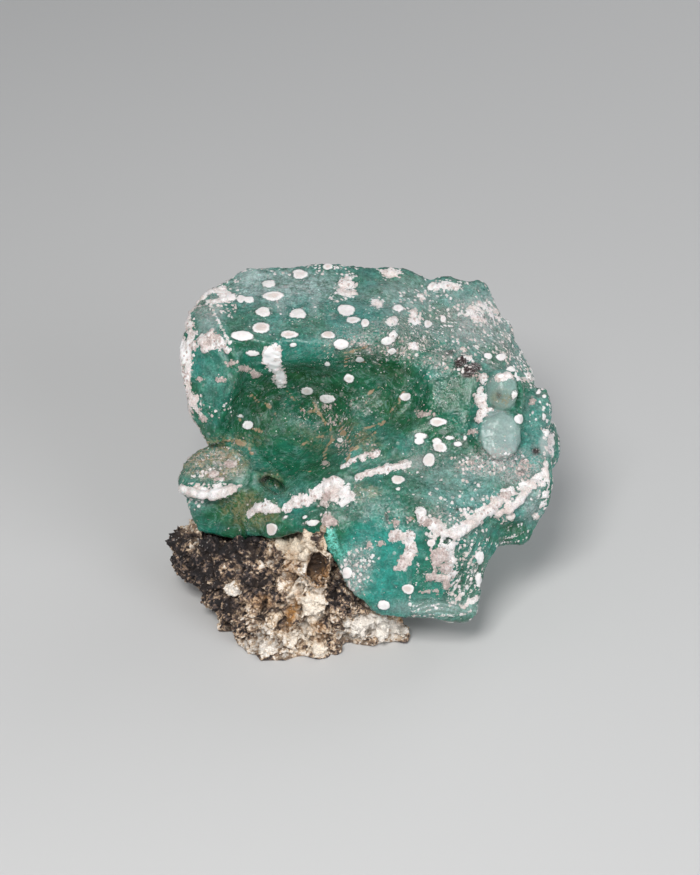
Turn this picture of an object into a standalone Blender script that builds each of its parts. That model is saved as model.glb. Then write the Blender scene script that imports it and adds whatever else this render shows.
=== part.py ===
"""A hand-sized specimen of melanterite standing on a piece of its host rock.

The green mass is one grown body: a plateau over a scooped hollow, a faceted block below it to
the right, a knob at the left and small lobes along the right side. The crumbly rock holds it
from below at the front left, and both touch the ground with a flat foot.

The corners of the lumps are in millimetres. Front corners are written as they look from the
front, VIEW_TILT above the horizon: how far to the right, how far up the picture, and how far
behind the picture plane. Back corners are true places: right, away and height.
"""

import math
import random

import bmesh
import bpy
from mathutils import Matrix, Vector, noise

MM = 0.001
VIEW_TILT = math.radians(35)

# Driving sizes, in millimetres
MASS_GRAIN = 0.6  # voxel that melts the lumps of the mass together
ROCK_GRAIN = 0.7
JOINT_GAP = 0.35  # free space between the mass and the rock around it
GROUND_SIDE = 200
GROUND_DEPTH = 30
GROUND_MIDDLE = 25  # how far back the middle of the ground block is

# How many triangles each body keeps, and how often its voxel surface is softened
MASS_TRIANGLES = 5600
ROCK_TRIANGLES = 4200
MASS_SOFTENING = 3
ROCK_SOFTENING = 1

# Relief of the mass: the spacing and the height of its swells, dents and back knobs
SWELL_SIZE = 9.0
SWELL_HEIGHT = 0.8
DENT_SIZE = 3.2
DENT_HEIGHT = 0.35
DENT_SHIFT = Vector((11, 5, 2))
BACK_START = 46  # how far back the knobbly face of the mass begins
BACK_BLEND = 6
BACK_KNOB_SIZE = 8.5
BACK_KNOB_HEIGHT = 4.5

# Relief of the rock, and the small broken pieces grown onto it
ROUGHNESS_SIZE = 3.6
ROUGHNESS_HEIGHT = 0.8
PIT_SPACING = 3.0
PIT_REACH = 0.32  # as a share of the spacing
PIT_DEPTH = 4.5  # how much deeper a pit gets per share of the spacing
CRUMBS = 170
CRUMB_SIZE = (0.9, 2.5)
CRUMB_CORNERS = 11
CRUMB_UNEVENNESS = (0.75, 1.1)
ROCK_SEED = 7

MASS_COLOUR = (0.05, 0.32, 0.22)
MASS_ROUGHNESS = 0.35
ROCK_COLOUR = (0.45, 0.36, 0.27)
ROCK_ROUGHNESS = 0.9

# Lumps of the mass: each is the convex hull of its front corners and its back corners
MASS_LUMPS = {
    "plateau": (
        [
            (-28.6, 52, 2), (-27.6, 58, 4), (-25, 61.6, 7.5), (-20, 64.2, 11), (-10, 66.2, 13),
            (1, 66.2, 14.5), (9, 65, 16), (-21.5, 53.2, -4.5), (-14, 51.8, -5.5),
            (-5, 52.5, -4.5), (6, 53.5, -2), (13, 54, 3.5), (-20, 45, 3), (0, 44.5, 6),
            (12, 43, 5),
        ],
        [(-21, 46, 40), (-20, 44, 26), (0, 53, 40), (8, 54, 30), (-14, 46, 14), (4, 48, 14)],
    ),
    "left wall": (
        [
            (-25, 58.6, 3), (-21.5, 53.2, -4.5), (-18, 50, -5), (-19.5, 43, -3.5),
            (-20.5, 37, -1.5), (-24, 35.8, 3), (-27.6, 42, 1.5), (-28.9, 46.5, 0.5),
            (-28.9, 52.5, 1.5), (-27.6, 58, 3.5), (-24, 38, 12), (-18, 44, 14),
        ],
        [(-26, 40, 34), (-22, 34, 22)],
    ),
    "rear shoulder": (
        [
            (8, 65, 15.5), (13, 63.8, 18), (20.9, 63.6, 21), (26.2, 58, 20.5),
            (28.5, 51.5, 18.5), (31.2, 46.8, 16), (24, 47, 5), (14, 53, 4.5), (5, 57, 4.5),
        ],
        [(18, 56, 32), (25, 50, 18), (27, 42, 14), (20, 36, 8), (2, 56, 28), (14, 55, 18)],
    ),
    "floor": (
        [
            (-21, 45.5, 4), (0, 46, 7), (12, 46, 4), (-22, 38, 2), (-15, 31, -1.5),
            (-4, 31, -3.5), (6, 34.5, -3), (14, 38, -3),
        ],
        [(-17, 29, 13), (14, 34, 10), (0, 44, 20)],
    ),
    "neck": (
        [
            (-21, 32, 2.5), (-14, 32, 0), (-7, 32, -2), (-20, 23.5, 2), (-12, 24, -1), (-5, 26, -4),
        ],
        [(-19, 25, 15), (-6, 22, 12), (2, 24, 16)],
    ),
    "slope": (
        [
            (6, 52, 2), (12, 51.5, 0), (18, 48, -1), (21, 46, -1), (16, 37, -3), (6, 35.5, -2.5),
            (24, 34, -1), (22, 44, 12),
        ],
        [(4, 36, 20), (22, 34, 16)],
    ),
    "core": (
        [],
        [
            (-20, 24, 16), (-14, 20, 13), (-4, 16, 11), (6, 13, 9), (18, 14, 9), (24, 22, 14),
            (24, 40, 9), (18, 50, 10), (4, 52, 9), (-12, 46, 10), (-19, 40, 20), (24, 44, 24),
            (-14, 42, 38), (10, 46, 40),
        ],
    ),
    "rear foot": (
        [],
        [
            (1, 30, -4), (17, 27, -4), (20, 42, -4), (6, 45, -4), (-5, 39, -4), (-7, 31, 12),
            (20, 24, 12), (23, 45, 12), (2, 50, 12), (-10, 40, 12),
        ],
    ),
    "block": (
        [
            (-4, 30, -5), (7, 34.8, -2.5), (19, 36.5, -1.5), (27, 36, 0), (26, 28, -3),
            (13.5, 20.5, -10.5), (17.5, 21.5, -9), (10, 24.5, -10), (-5, 25.5, -6.5),
            (-6, 19, -6), (-2.2, 12.5, -5), (3, 7.6, -4), (11, 6.2, -3.5), (19.4, 7.2, -1.5),
            (21.8, 18, -1.5),
        ],
        [(20, 16, 10), (4, 16, 8), (24, 22, 18)],
    ),
    "right arm": (
        [
            (22, 37, -1), (32.3, 37.8, 3), (33, 30, 1), (32.8, 26, 0.5), (30.5, 22.5, 1),
            (21, 21.5, -3), (21, 31, -4), (23, 36, 14), (30.5, 34, 13), (29, 27, 13),
        ],
        [(20, 26, 16)],
    ),
    "upper plate": (
        [
            (21, 23.5, -5.5), (25, 26.5, -5), (31, 29.5, -1.5), (33.2, 28.5, 1), (32, 25.5, 0),
            (24.5, 22, -3.5), (28, 28, 10), (20, 25, 6),
        ],
        [],
    ),
    "lower plate": (
        [
            (21.3, 18.4, 0), (24.5, 19.6, -0.5), (28.5, 19.2, 3), (31, 21.5, 2.5),
            (32, 24.2, 1.5), (20, 21, -3), (27, 24, 10), (20, 22, 8),
        ],
        [],
    ),
    "ridge": (
        [
            (-20, 23, 1), (-17, 26, -1), (-9, 27.8, -3.5), (-3, 31, -5.5), (8, 35.5, -3.5),
            (8, 30, -4), (-4.5, 21, -6.5), (-13, 20, -2), (-18, 20, 2), (-14, 23, 6),
            (4, 30, 5),
        ],
        [],
    ),
    "wall seat": (
        [
            (-22.5, 37.2, 3), (-18, 38.5, 1), (-15.5, 35, 1), (-20, 33, 3.5), (-22.5, 34.5, 8),
            (-17, 36, 10),
        ],
        [],
    ),
    "knob": (
        [
            (-30, 29, 4), (-29.2, 32.5, 5), (-25.3, 35.3, 5.5), (-19, 35.6, 6), (-16, 31.5, 3),
            (-17, 27.8, 1), (-22, 26.6, -1), (-29.3, 27.3, 1.5), (-27, 30, 14), (-18, 33, 14),
            (-19, 26, 12), (-26, 26, 12),
        ],
        [],
    ),
    "knob foot": (
        [
            (-28.8, 27.5, 4), (-28, 24, 5), (-26, 20, 5), (-18, 19.5, 3.5), (-15.5, 23.5, 5),
            (-19, 27, 2), (-25, 24, 14), (-16, 22, 14),
        ],
        [],
    ),
    "lip": (
        [
            (9.2, 9.4, -5.6), (9.6, 7.4, -5.6), (14, 6.7, -5.2), (19.4, 7.1, -3.2),
            (20, 8.8, -3), (15, 9, -5.6), (10, 8, 4), (19, 8, 4),
        ],
        [],
    ),
    "square lobe": (
        [
            (28, 45, 4), (32.6, 44.8, 5), (33.3, 42.5, 4), (32.9, 37.8, 4), (26.5, 37.5, 0),
            (27, 44, 14), (32, 42, 13), (31, 37, 14),
        ],
        [],
    ),
    "saddle": (
        [
            (15, 50.5, 2.5), (22, 47.5, 2.5), (26, 47, 3), (30.3, 46, 8), (31.3, 40, 8),
            (24, 36, 2), (30, 35, 8), (11, 52, 1.8), (17, 50.8, 0.8),
        ],
        [(30, 39, 26), (21, 38, 31), (28, 36, 18), (18, 36, 22)],
    ),
    "column": (
        [
            (20.5, 46.8, -1.5), (25.5, 47.6, -1.5), (27.7, 45, -2), (26.8, 39, -3),
            (26, 33.5, -5), (21.5, 33, -5.5), (19, 37, -4.5), (19.5, 42, -3.2), (20, 46, 4),
            (27, 46, 4), (27, 34, 2), (20, 33, 2),
        ],
        [],
    ),
}

# Round lobes of the mass: centre (right, up, behind) and radii along the same three
MASS_LOBES = {
    "rear knob": ((31.2, 35.3, 12.5), (3.6, 4.4, 5)),
    "column head": ((24.2, 44.4, -1.5), (3.6, 3.6, 3)),
}

# Hollows in the mass, as ellipsoids: centre, radii and turn in the picture in degrees
MASS_HOLLOWS = {
    "scoop": ((-10, 39.5, -14), (16, 11, 24), 18),
    "scoop right": ((1.5, 43, -28), (19.5, 12.5, 33.5), 14),
    "back notch": ((22, 51, 36), (9, 5, 6), 40),
    "back hollow": ((-6, 30, 44), (15, 9, 6), -15),
    "crack": ((-13.5, 28.7, 0.4), (2.9, 1.2, 3.2), -32),
}

ROCK_LUMPS = {
    "rock core": (
        [
            (-17.5, 0, 1), (-4, 0, 0.5), (-33, 18.6, 10), (-30.6, 14.4, 9), (-23, 9.6, 5),
            (-19.2, 3.6, 2), (-28.5, 22, 9), (-24, 20, 5), (-16, 19.5, 2), (-6, 20, -3),
            (-5, 14, -4.5), (-3, 6, -3), (-12, 12, -3), (-20, 14, 0), (-26, 17, 4),
        ],
        [(-20, 28, -3), (-4, 32, -3), (4, 24, -3), (-26, 26, 8), (-18, 30, 16), (0, 28, 12)],
    ),
    "rock seat": (
        [
            (-8, 20.5, -3), (1, 16, -3), (5, 8, -1), (8.5, 5.5, 3), (0, 4, 0), (-6, 4, -2),
        ],
        [(6, 24, -3), (0, 24, 12)],
    ),
    "rock toe": (
        [
            (8.2, 5, 3.5), (8.2, 2.4, 4), (4, 2, 3), (-1, 2.4, 3.5), (-2, 9, -2.5), (4, 8, -1),
            (8, 6, 2.5),
        ],
        [(8, 12, -2), (0, 14, 2)],
    ),
    "rock peak": (
        [
            (-8.5, 21, -4.5), (-5, 22.3, -7), (-3.8, 18, -8), (-4, 11, -7), (-8.5, 11.5, -6.5),
            (-10, 17, -5), (-5, 16, 4),
        ],
        [],
    ),
}

# Pits in the rock, as ellipsoids like the hollows of the mass
ROCK_PITS = {
    "cavity": ((-6, 15, -7.2), (1.6, 2.1, 3), 0),
    "crevice": ((-9.3, 7.5, -4.5), (0.9, 2.8, 3), 18),
    "upper pit": ((-15, 17.5, -2.5), (2.4, 1.4, 3), -20),
    "left pit": ((-22, 14.5, 0.5), (1.6, 1.8, 3), 30),
    "toe gap": ((-3.6, 3.0, -1), (1.1, 2.6, 3.5), -25),
}


def seen(right, up, behind):
    """The place, in metres, of a point given in millimetres as it looks from the front."""
    y = up * math.sin(VIEW_TILT) + behind * math.cos(VIEW_TILT)
    z = up * math.cos(VIEW_TILT) - behind * math.sin(VIEW_TILT)
    return Vector((right, y, z)) * MM


def clear_scene():
    for obj in list(bpy.data.objects):
        bpy.data.objects.remove(obj, do_unlink=True)


def new_collection(name):
    collection = bpy.data.collections.new(name)
    bpy.context.scene.collection.children.link(collection)
    return collection


def add_object(name, mesh, collection):
    obj = bpy.data.objects.new(name, mesh)
    collection.objects.link(obj)
    return obj


def hide_helper(obj):
    obj.hide_render = True
    obj.display_type = "WIRE"
    return obj


def add_hull(bm, points):
    """Adds the convex hull of the points to the mesh."""
    verts = [bm.verts.new(point) for point in points]
    made = bmesh.ops.convex_hull(bm, input=verts)
    spare = {item for item in made["geom_interior"] if isinstance(item, bmesh.types.BMVert)}
    bmesh.ops.delete(bm, geom=list(spare), context="VERTS")


def add_lumps(bm, lumps):
    """Adds each lump as the convex hull of its front and back corners."""
    for front, back in lumps.values():
        corners = [seen(*corner) for corner in front]
        add_hull(bm, corners + [Vector(corner) * MM for corner in back])


def add_ellipsoid(bm, centre, radii, turn=0.0, detail=3):
    """Adds an ellipsoid whose axes run right, up the picture and towards the viewer."""
    to_picture = Matrix.Rotation(math.pi / 2 - VIEW_TILT, 4, "X")
    turned = Matrix.Rotation(math.radians(turn), 4, "Z")
    sizes = Matrix.Diagonal((*(radius * MM for radius in radii), 1.0))
    matrix = Matrix.Translation(seen(*centre)) @ to_picture @ turned @ sizes
    bmesh.ops.create_icosphere(bm, subdivisions=detail, radius=1.0, matrix=matrix)


def mesh_from(name, fill):
    """A mesh that fill(bm) draws."""
    bm = bmesh.new()
    fill(bm)
    mesh = bpy.data.meshes.new(name)
    bm.to_mesh(mesh)
    bm.free()
    return mesh


def evaluated_mesh(obj, name):
    """The object's mesh with its modifiers applied."""
    graph = bpy.context.evaluated_depsgraph_get()
    graph.update()
    mesh = bpy.data.meshes.new_from_object(obj.evaluated_get(graph))
    mesh.name = name
    return mesh


def add_remesh(obj, voxel):
    modifier = obj.modifiers.new("melt", "REMESH")
    modifier.mode = "VOXEL"
    modifier.voxel_size = voxel * MM


def add_smooth(obj, rounds):
    modifier = obj.modifiers.new("soften", "SMOOTH")
    modifier.factor = 0.5
    modifier.iterations = rounds


def add_cut(obj, cutter):
    modifier = obj.modifiers.new("cut " + cutter.name, "BOOLEAN")
    modifier.operation = "DIFFERENCE"
    modifier.solver = "EXACT"
    modifier.object = cutter


def add_hollows(obj, hollows, helpers):
    for name, (centre, radii, turn) in hollows.items():
        mesh = mesh_from(name, lambda bm: add_ellipsoid(bm, centre, radii, turn))
        add_cut(obj, hide_helper(add_object(name, mesh, helpers)))


def move_along_normals(mesh, distance):
    """Moves each vertex along its normal by distance(place), in millimetres."""
    normals = [vert.normal.copy() for vert in mesh.vertices]
    for vert, normal in zip(mesh.vertices, normals):
        vert.co += normal * distance(vert.co / MM) * MM
    mesh.update()


def reduce_to(obj, triangles):
    modifier = obj.modifiers.new("reduce", "DECIMATE")
    have = sum(len(face.vertices) - 2 for face in obj.data.polygons)
    modifier.ratio = min(1.0, triangles / have)
    modifier.use_collapse_triangulate = True


def mass_relief(place):
    """Swells and shallow dents of the grown surface, and round knobs on the back."""
    swell = noise.fractal(place / SWELL_SIZE, 1.0, 2.0, 2) * SWELL_HEIGHT
    dents = noise.noise(place / DENT_SIZE + DENT_SHIFT) * DENT_HEIGHT
    at_back = min(max((place.y - BACK_START) / BACK_BLEND, 0.0), 1.0)
    knobs = BACK_KNOB_HEIGHT * (0.5 - noise.voronoi(place / BACK_KNOB_SIZE)[0][0])
    return swell + dents + knobs * at_back


def rock_relief(place):
    """Crumbly lumps with pits between them."""
    lumps = noise.fractal(place / ROUGHNESS_SIZE, 0.8, 2.0, 3) * ROUGHNESS_HEIGHT
    nearest = noise.voronoi(place / PIT_SPACING)[0][0]
    return lumps - max(0.0, PIT_REACH - nearest) * PIT_DEPTH


def ground_cutter(helpers):
    """A block below the ground, which gives the specimen its flat feet."""
    middle = Matrix.Translation(Vector((0, GROUND_MIDDLE, -GROUND_DEPTH / 2)) * MM)
    sizes = Matrix.Diagonal((GROUND_SIDE * MM, GROUND_SIDE * MM, GROUND_DEPTH * MM, 1.0))
    matrix = middle @ sizes
    mesh = mesh_from("ground", lambda bm: bmesh.ops.create_cube(bm, size=1.0, matrix=matrix))
    return hide_helper(add_object("ground", mesh, helpers))


def make_mass(parts, helpers, ground):
    """The green mass: lumps melted together, hollowed, softened and given its relief."""

    def draw_lumps(bm):
        add_lumps(bm, MASS_LUMPS)
        for centre, radii in MASS_LOBES.values():
            add_ellipsoid(bm, centre, radii)

    rough = hide_helper(add_object("mass lumps", mesh_from("mass lumps", draw_lumps), helpers))
    add_remesh(rough, MASS_GRAIN)
    add_hollows(rough, MASS_HOLLOWS, helpers)
    add_remesh(rough, MASS_GRAIN)
    add_smooth(rough, MASS_SOFTENING)

    mesh = evaluated_mesh(rough, "melanterite")
    move_along_normals(mesh, mass_relief)
    mass = add_object("melanterite", mesh, parts)
    reduce_to(mass, MASS_TRIANGLES)
    add_cut(mass, ground)
    return mass


def surface_points(bm, count, rng):
    """Random points on the faces of the mesh, spread by area."""
    bmesh.ops.triangulate(bm, faces=bm.faces)
    faces = list(bm.faces)
    weights = [face.calc_area() for face in faces]
    points = []
    for face in rng.choices(faces, weights, k=count):
        a, b, c = (vert.co for vert in face.verts)
        u, v = sorted((rng.random(), rng.random()))
        points.append(a * u + b * (v - u) + c * (1 - v))
    return points


def crumb_corners(centre, size, rng):
    """Corners of one small broken piece of rock."""
    corners = []
    for _ in range(CRUMB_CORNERS):
        away = Vector((rng.gauss(0, 1), rng.gauss(0, 1), rng.gauss(0, 1))).normalized()
        corners.append(centre + away * size * rng.uniform(*CRUMB_UNEVENNESS) * MM)
    return corners


def make_rock(parts, helpers, ground, mass):
    """The host rock: crumbs grown onto its main lumps, cut to the shape of the mass."""
    rng = random.Random(ROCK_SEED)

    def draw_lumps(bm):
        add_lumps(bm, ROCK_LUMPS)
        for centre in surface_points(bm, CRUMBS, rng):
            add_hull(bm, crumb_corners(centre, rng.uniform(*CRUMB_SIZE), rng))

    rough = hide_helper(add_object("rock lumps", mesh_from("rock lumps", draw_lumps), helpers))
    add_remesh(rough, ROCK_GRAIN)
    add_hollows(rough, ROCK_PITS, helpers)
    add_remesh(rough, ROCK_GRAIN)
    add_smooth(rough, ROCK_SOFTENING)

    mesh = evaluated_mesh(rough, "host_rock")
    move_along_normals(mesh, rock_relief)
    rock = add_object("host_rock", mesh, parts)
    reduce_to(rock, ROCK_TRIANGLES)
    add_cut(rock, ground)

    socket_mesh = evaluated_mesh(mass, "socket")
    move_along_normals(socket_mesh, lambda place: JOINT_GAP)
    add_cut(rock, hide_helper(add_object("socket", socket_mesh, helpers)))
    return rock


def stand_on_origin(collections):
    """Moves everything so that the origin is under the middle of the specimen's box."""
    graph = bpy.context.evaluated_depsgraph_get()
    graph.update()
    places = []
    for obj in collections[0].objects:
        places += [obj.matrix_world @ Vector(c) for c in obj.evaluated_get(graph).bound_box]
    low = [min(place[axis] for place in places) for axis in range(3)]
    high = [max(place[axis] for place in places) for axis in range(3)]
    shift = Vector(((low[0] + high[0]) / 2, (low[1] + high[1]) / 2, low[2]))
    for collection in collections:
        for obj in collection.objects:
            obj.location -= shift


def give_material(obj, name, colour, roughness):
    material = bpy.data.materials.new(name)
    material.use_nodes = True
    shader = material.node_tree.nodes["Principled BSDF"]
    shader.inputs["Base Color"].default_value = (*colour, 1)
    shader.inputs["Roughness"].default_value = roughness
    obj.data.materials.append(material)


def main():
    clear_scene()
    parts = new_collection("melanterite specimen")
    helpers = new_collection("cutters")
    ground = ground_cutter(helpers)
    mass = make_mass(parts, helpers, ground)
    rock = make_rock(parts, helpers, ground, mass)
    give_material(mass, "melanterite", MASS_COLOUR, MASS_ROUGHNESS)
    give_material(rock, "host rock", ROCK_COLOUR, ROCK_ROUGHNESS)
    stand_on_origin([parts, helpers])


main()
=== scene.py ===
"""Looks of the melanterite specimen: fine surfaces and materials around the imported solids.

Marks of the photographed side are placed by where they are in the 700 by 875 picture. A ray from
the camera finds the place on the surface, and only the surface near that place is marked, so each
mark sits on what carries it. The hidden sides get marks of the same kinds at random places.
"""

import math
import random

import bmesh
import bpy
import numpy as np
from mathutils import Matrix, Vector, kdtree, noise
from mathutils.bvhtree import BVHTree


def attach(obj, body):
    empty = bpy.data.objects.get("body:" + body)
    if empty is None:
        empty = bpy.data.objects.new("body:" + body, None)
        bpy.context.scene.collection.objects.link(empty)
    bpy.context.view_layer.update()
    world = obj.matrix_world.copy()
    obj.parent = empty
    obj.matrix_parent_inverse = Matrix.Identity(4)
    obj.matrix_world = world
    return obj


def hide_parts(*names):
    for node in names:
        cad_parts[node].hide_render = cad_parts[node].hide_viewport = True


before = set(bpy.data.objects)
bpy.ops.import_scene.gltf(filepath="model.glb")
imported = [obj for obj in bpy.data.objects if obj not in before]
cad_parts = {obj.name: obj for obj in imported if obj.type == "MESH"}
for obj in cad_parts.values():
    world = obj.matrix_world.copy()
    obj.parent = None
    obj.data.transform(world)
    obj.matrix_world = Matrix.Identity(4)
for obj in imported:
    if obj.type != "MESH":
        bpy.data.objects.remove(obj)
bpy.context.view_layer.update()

MM = 0.001
WIDTH, HEIGHT = 700, 875

# Camera of the photographed view
VIEW_TILT = math.radians(35)
CAMERA_DISTANCE = 0.3989
LENS = 100.0
SENSOR = 36.0
LOOKED_AT = Vector((-0.0021158, -0.0075188, 0.0299811))
FORWARD = Vector((0, math.cos(VIEW_TILT), -math.sin(VIEW_TILT)))
RIGHT = Vector((1, 0, 0))
UP = RIGHT.cross(FORWARD)
EYE = LOOKED_AT - FORWARD * CAMERA_DISTANCE
FOCAL_PX = LENS / SENSOR * HEIGHT
MM_PER_PX = CAMERA_DISTANCE / FOCAL_PX / MM

# Size of the even faces in millimetres, before those that the camera sees are split in four
MASS_FACES = 0.595
ROCK_FACES = 0.34
# How far a face has to face the camera to be split, and a vertex to be part of a drawn spot
SEEN_SLOPE = 0.15
SPOT_SLOPE = 0.02
# Distance in millimetres that stands for no mark near
FAR = 3.0
# Lines of crust at least this wide in pixels have a more ragged edge
WIDE_LINE = 4
# Random spots on the hidden sides: how many, their radii in millimetres and the lowest height
HIDDEN_SPOTS = 230
HIDDEN_RADII = (0.35, 1.45)
HIDDEN_FROM = 0.002
# Density from which crust is smooth and pure white
SOLID = 1.15
# Seed of the warp of the rock's crumbs
WARP_SEED = 7
# Crumbs of the rock: size in millimetres, seed and share in the tones
CRUMBS = ((3.4, 1.0, 0.26), (1.35, 7.0, 0.34), (0.62, 9.0, 0.40))
# Top of the rock's peak in the picture, how far it is lifted and how far around, in millimetres
PEAK = (308, 541)
PEAK_LIFT = 1.5
PEAK_REACH = 4.6

# White spots of dried-out mineral: place, width and height in the picture
SPOTS = [
    (269, 284, 14, 7), (273, 296, 20, 9), (249, 300, 9, 7), (241, 299, 9, 7), (263, 312, 15, 9),
    (298, 314, 16, 10), (261, 328, 18, 10), (242, 336, 20, 10), (289, 335, 17, 8), (293, 345, 6, 5),
    (346, 310, 17, 11), (328, 335, 13, 8), (341, 344, 15, 10), (353, 320, 14, 7), (365, 323, 8, 8),
    (253, 353, 12, 6), (327, 364, 5, 5), (349, 378, 10, 8), (307, 391, 12, 8), (327, 399, 14, 9),
    (248, 425, 11, 8), (240, 416, 6, 3), (300, 274, 15, 10), (328, 267, 9, 6), (340, 440, 6, 5),
    (398, 308, 10, 7), (428, 324, 8, 7), (443, 319, 6, 6), (432, 287, 9, 7), (387, 341, 12, 8),
    (488, 356, 8, 7), (501, 357, 9, 7), (511, 370, 9, 8), (406, 397, 12, 8), (438, 422, 17, 8),
    (360, 360, 8, 5), (392, 351, 8, 6), (421, 436, 12, 6), (419, 441, 10, 7), (437, 441, 10, 5),
    (440, 447, 14, 10), (450, 438, 9, 4), (458, 444, 8, 5), (465, 438, 4, 5), (429, 460, 13, 12),
    (398, 480, 13, 8), (421, 512, 11, 6), (398, 489, 4, 3), (408, 589, 13, 9), (384, 605, 11, 10),
    (347, 573, 9, 12), (231, 297, 9, 7), (272, 529, 12, 11), (305, 517, 5, 4), (313, 523, 12, 6),
    (285, 517, 4, 4), (519, 419, 11, 9), (479, 580, 6, 15), (479, 557, 8, 12), (538, 393, 5, 4),
    (544, 397, 4, 4), (543, 417, 4, 6), (431, 543, 8, 8), (513, 394, 5, 7),
]

# Pinkish tan spots, often half covered
PINK_SPOTS = [
    (244, 368, 13, 9), (255, 374, 15, 10), (232, 363, 15, 7), (220, 380, 11, 7), (200, 379, 9, 7),
    (330, 521, 15, 14), (389, 512, 5, 5), (381, 543, 8, 8), (369, 544, 8, 8), (204, 418, 10, 8),
    (214, 474, 10, 6), (219, 480, 10, 6), (425, 414, 20, 8), (472, 432, 9, 8), (325, 463, 8, 7),
    (230, 466, 13, 9), (397, 522, 11, 6), (409, 520, 8, 5), (426, 591, 11, 7), (436, 590, 8, 6),
    (327, 497, 13, 11), (532, 402, 8, 9), (446, 584, 11, 13),
]

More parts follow.
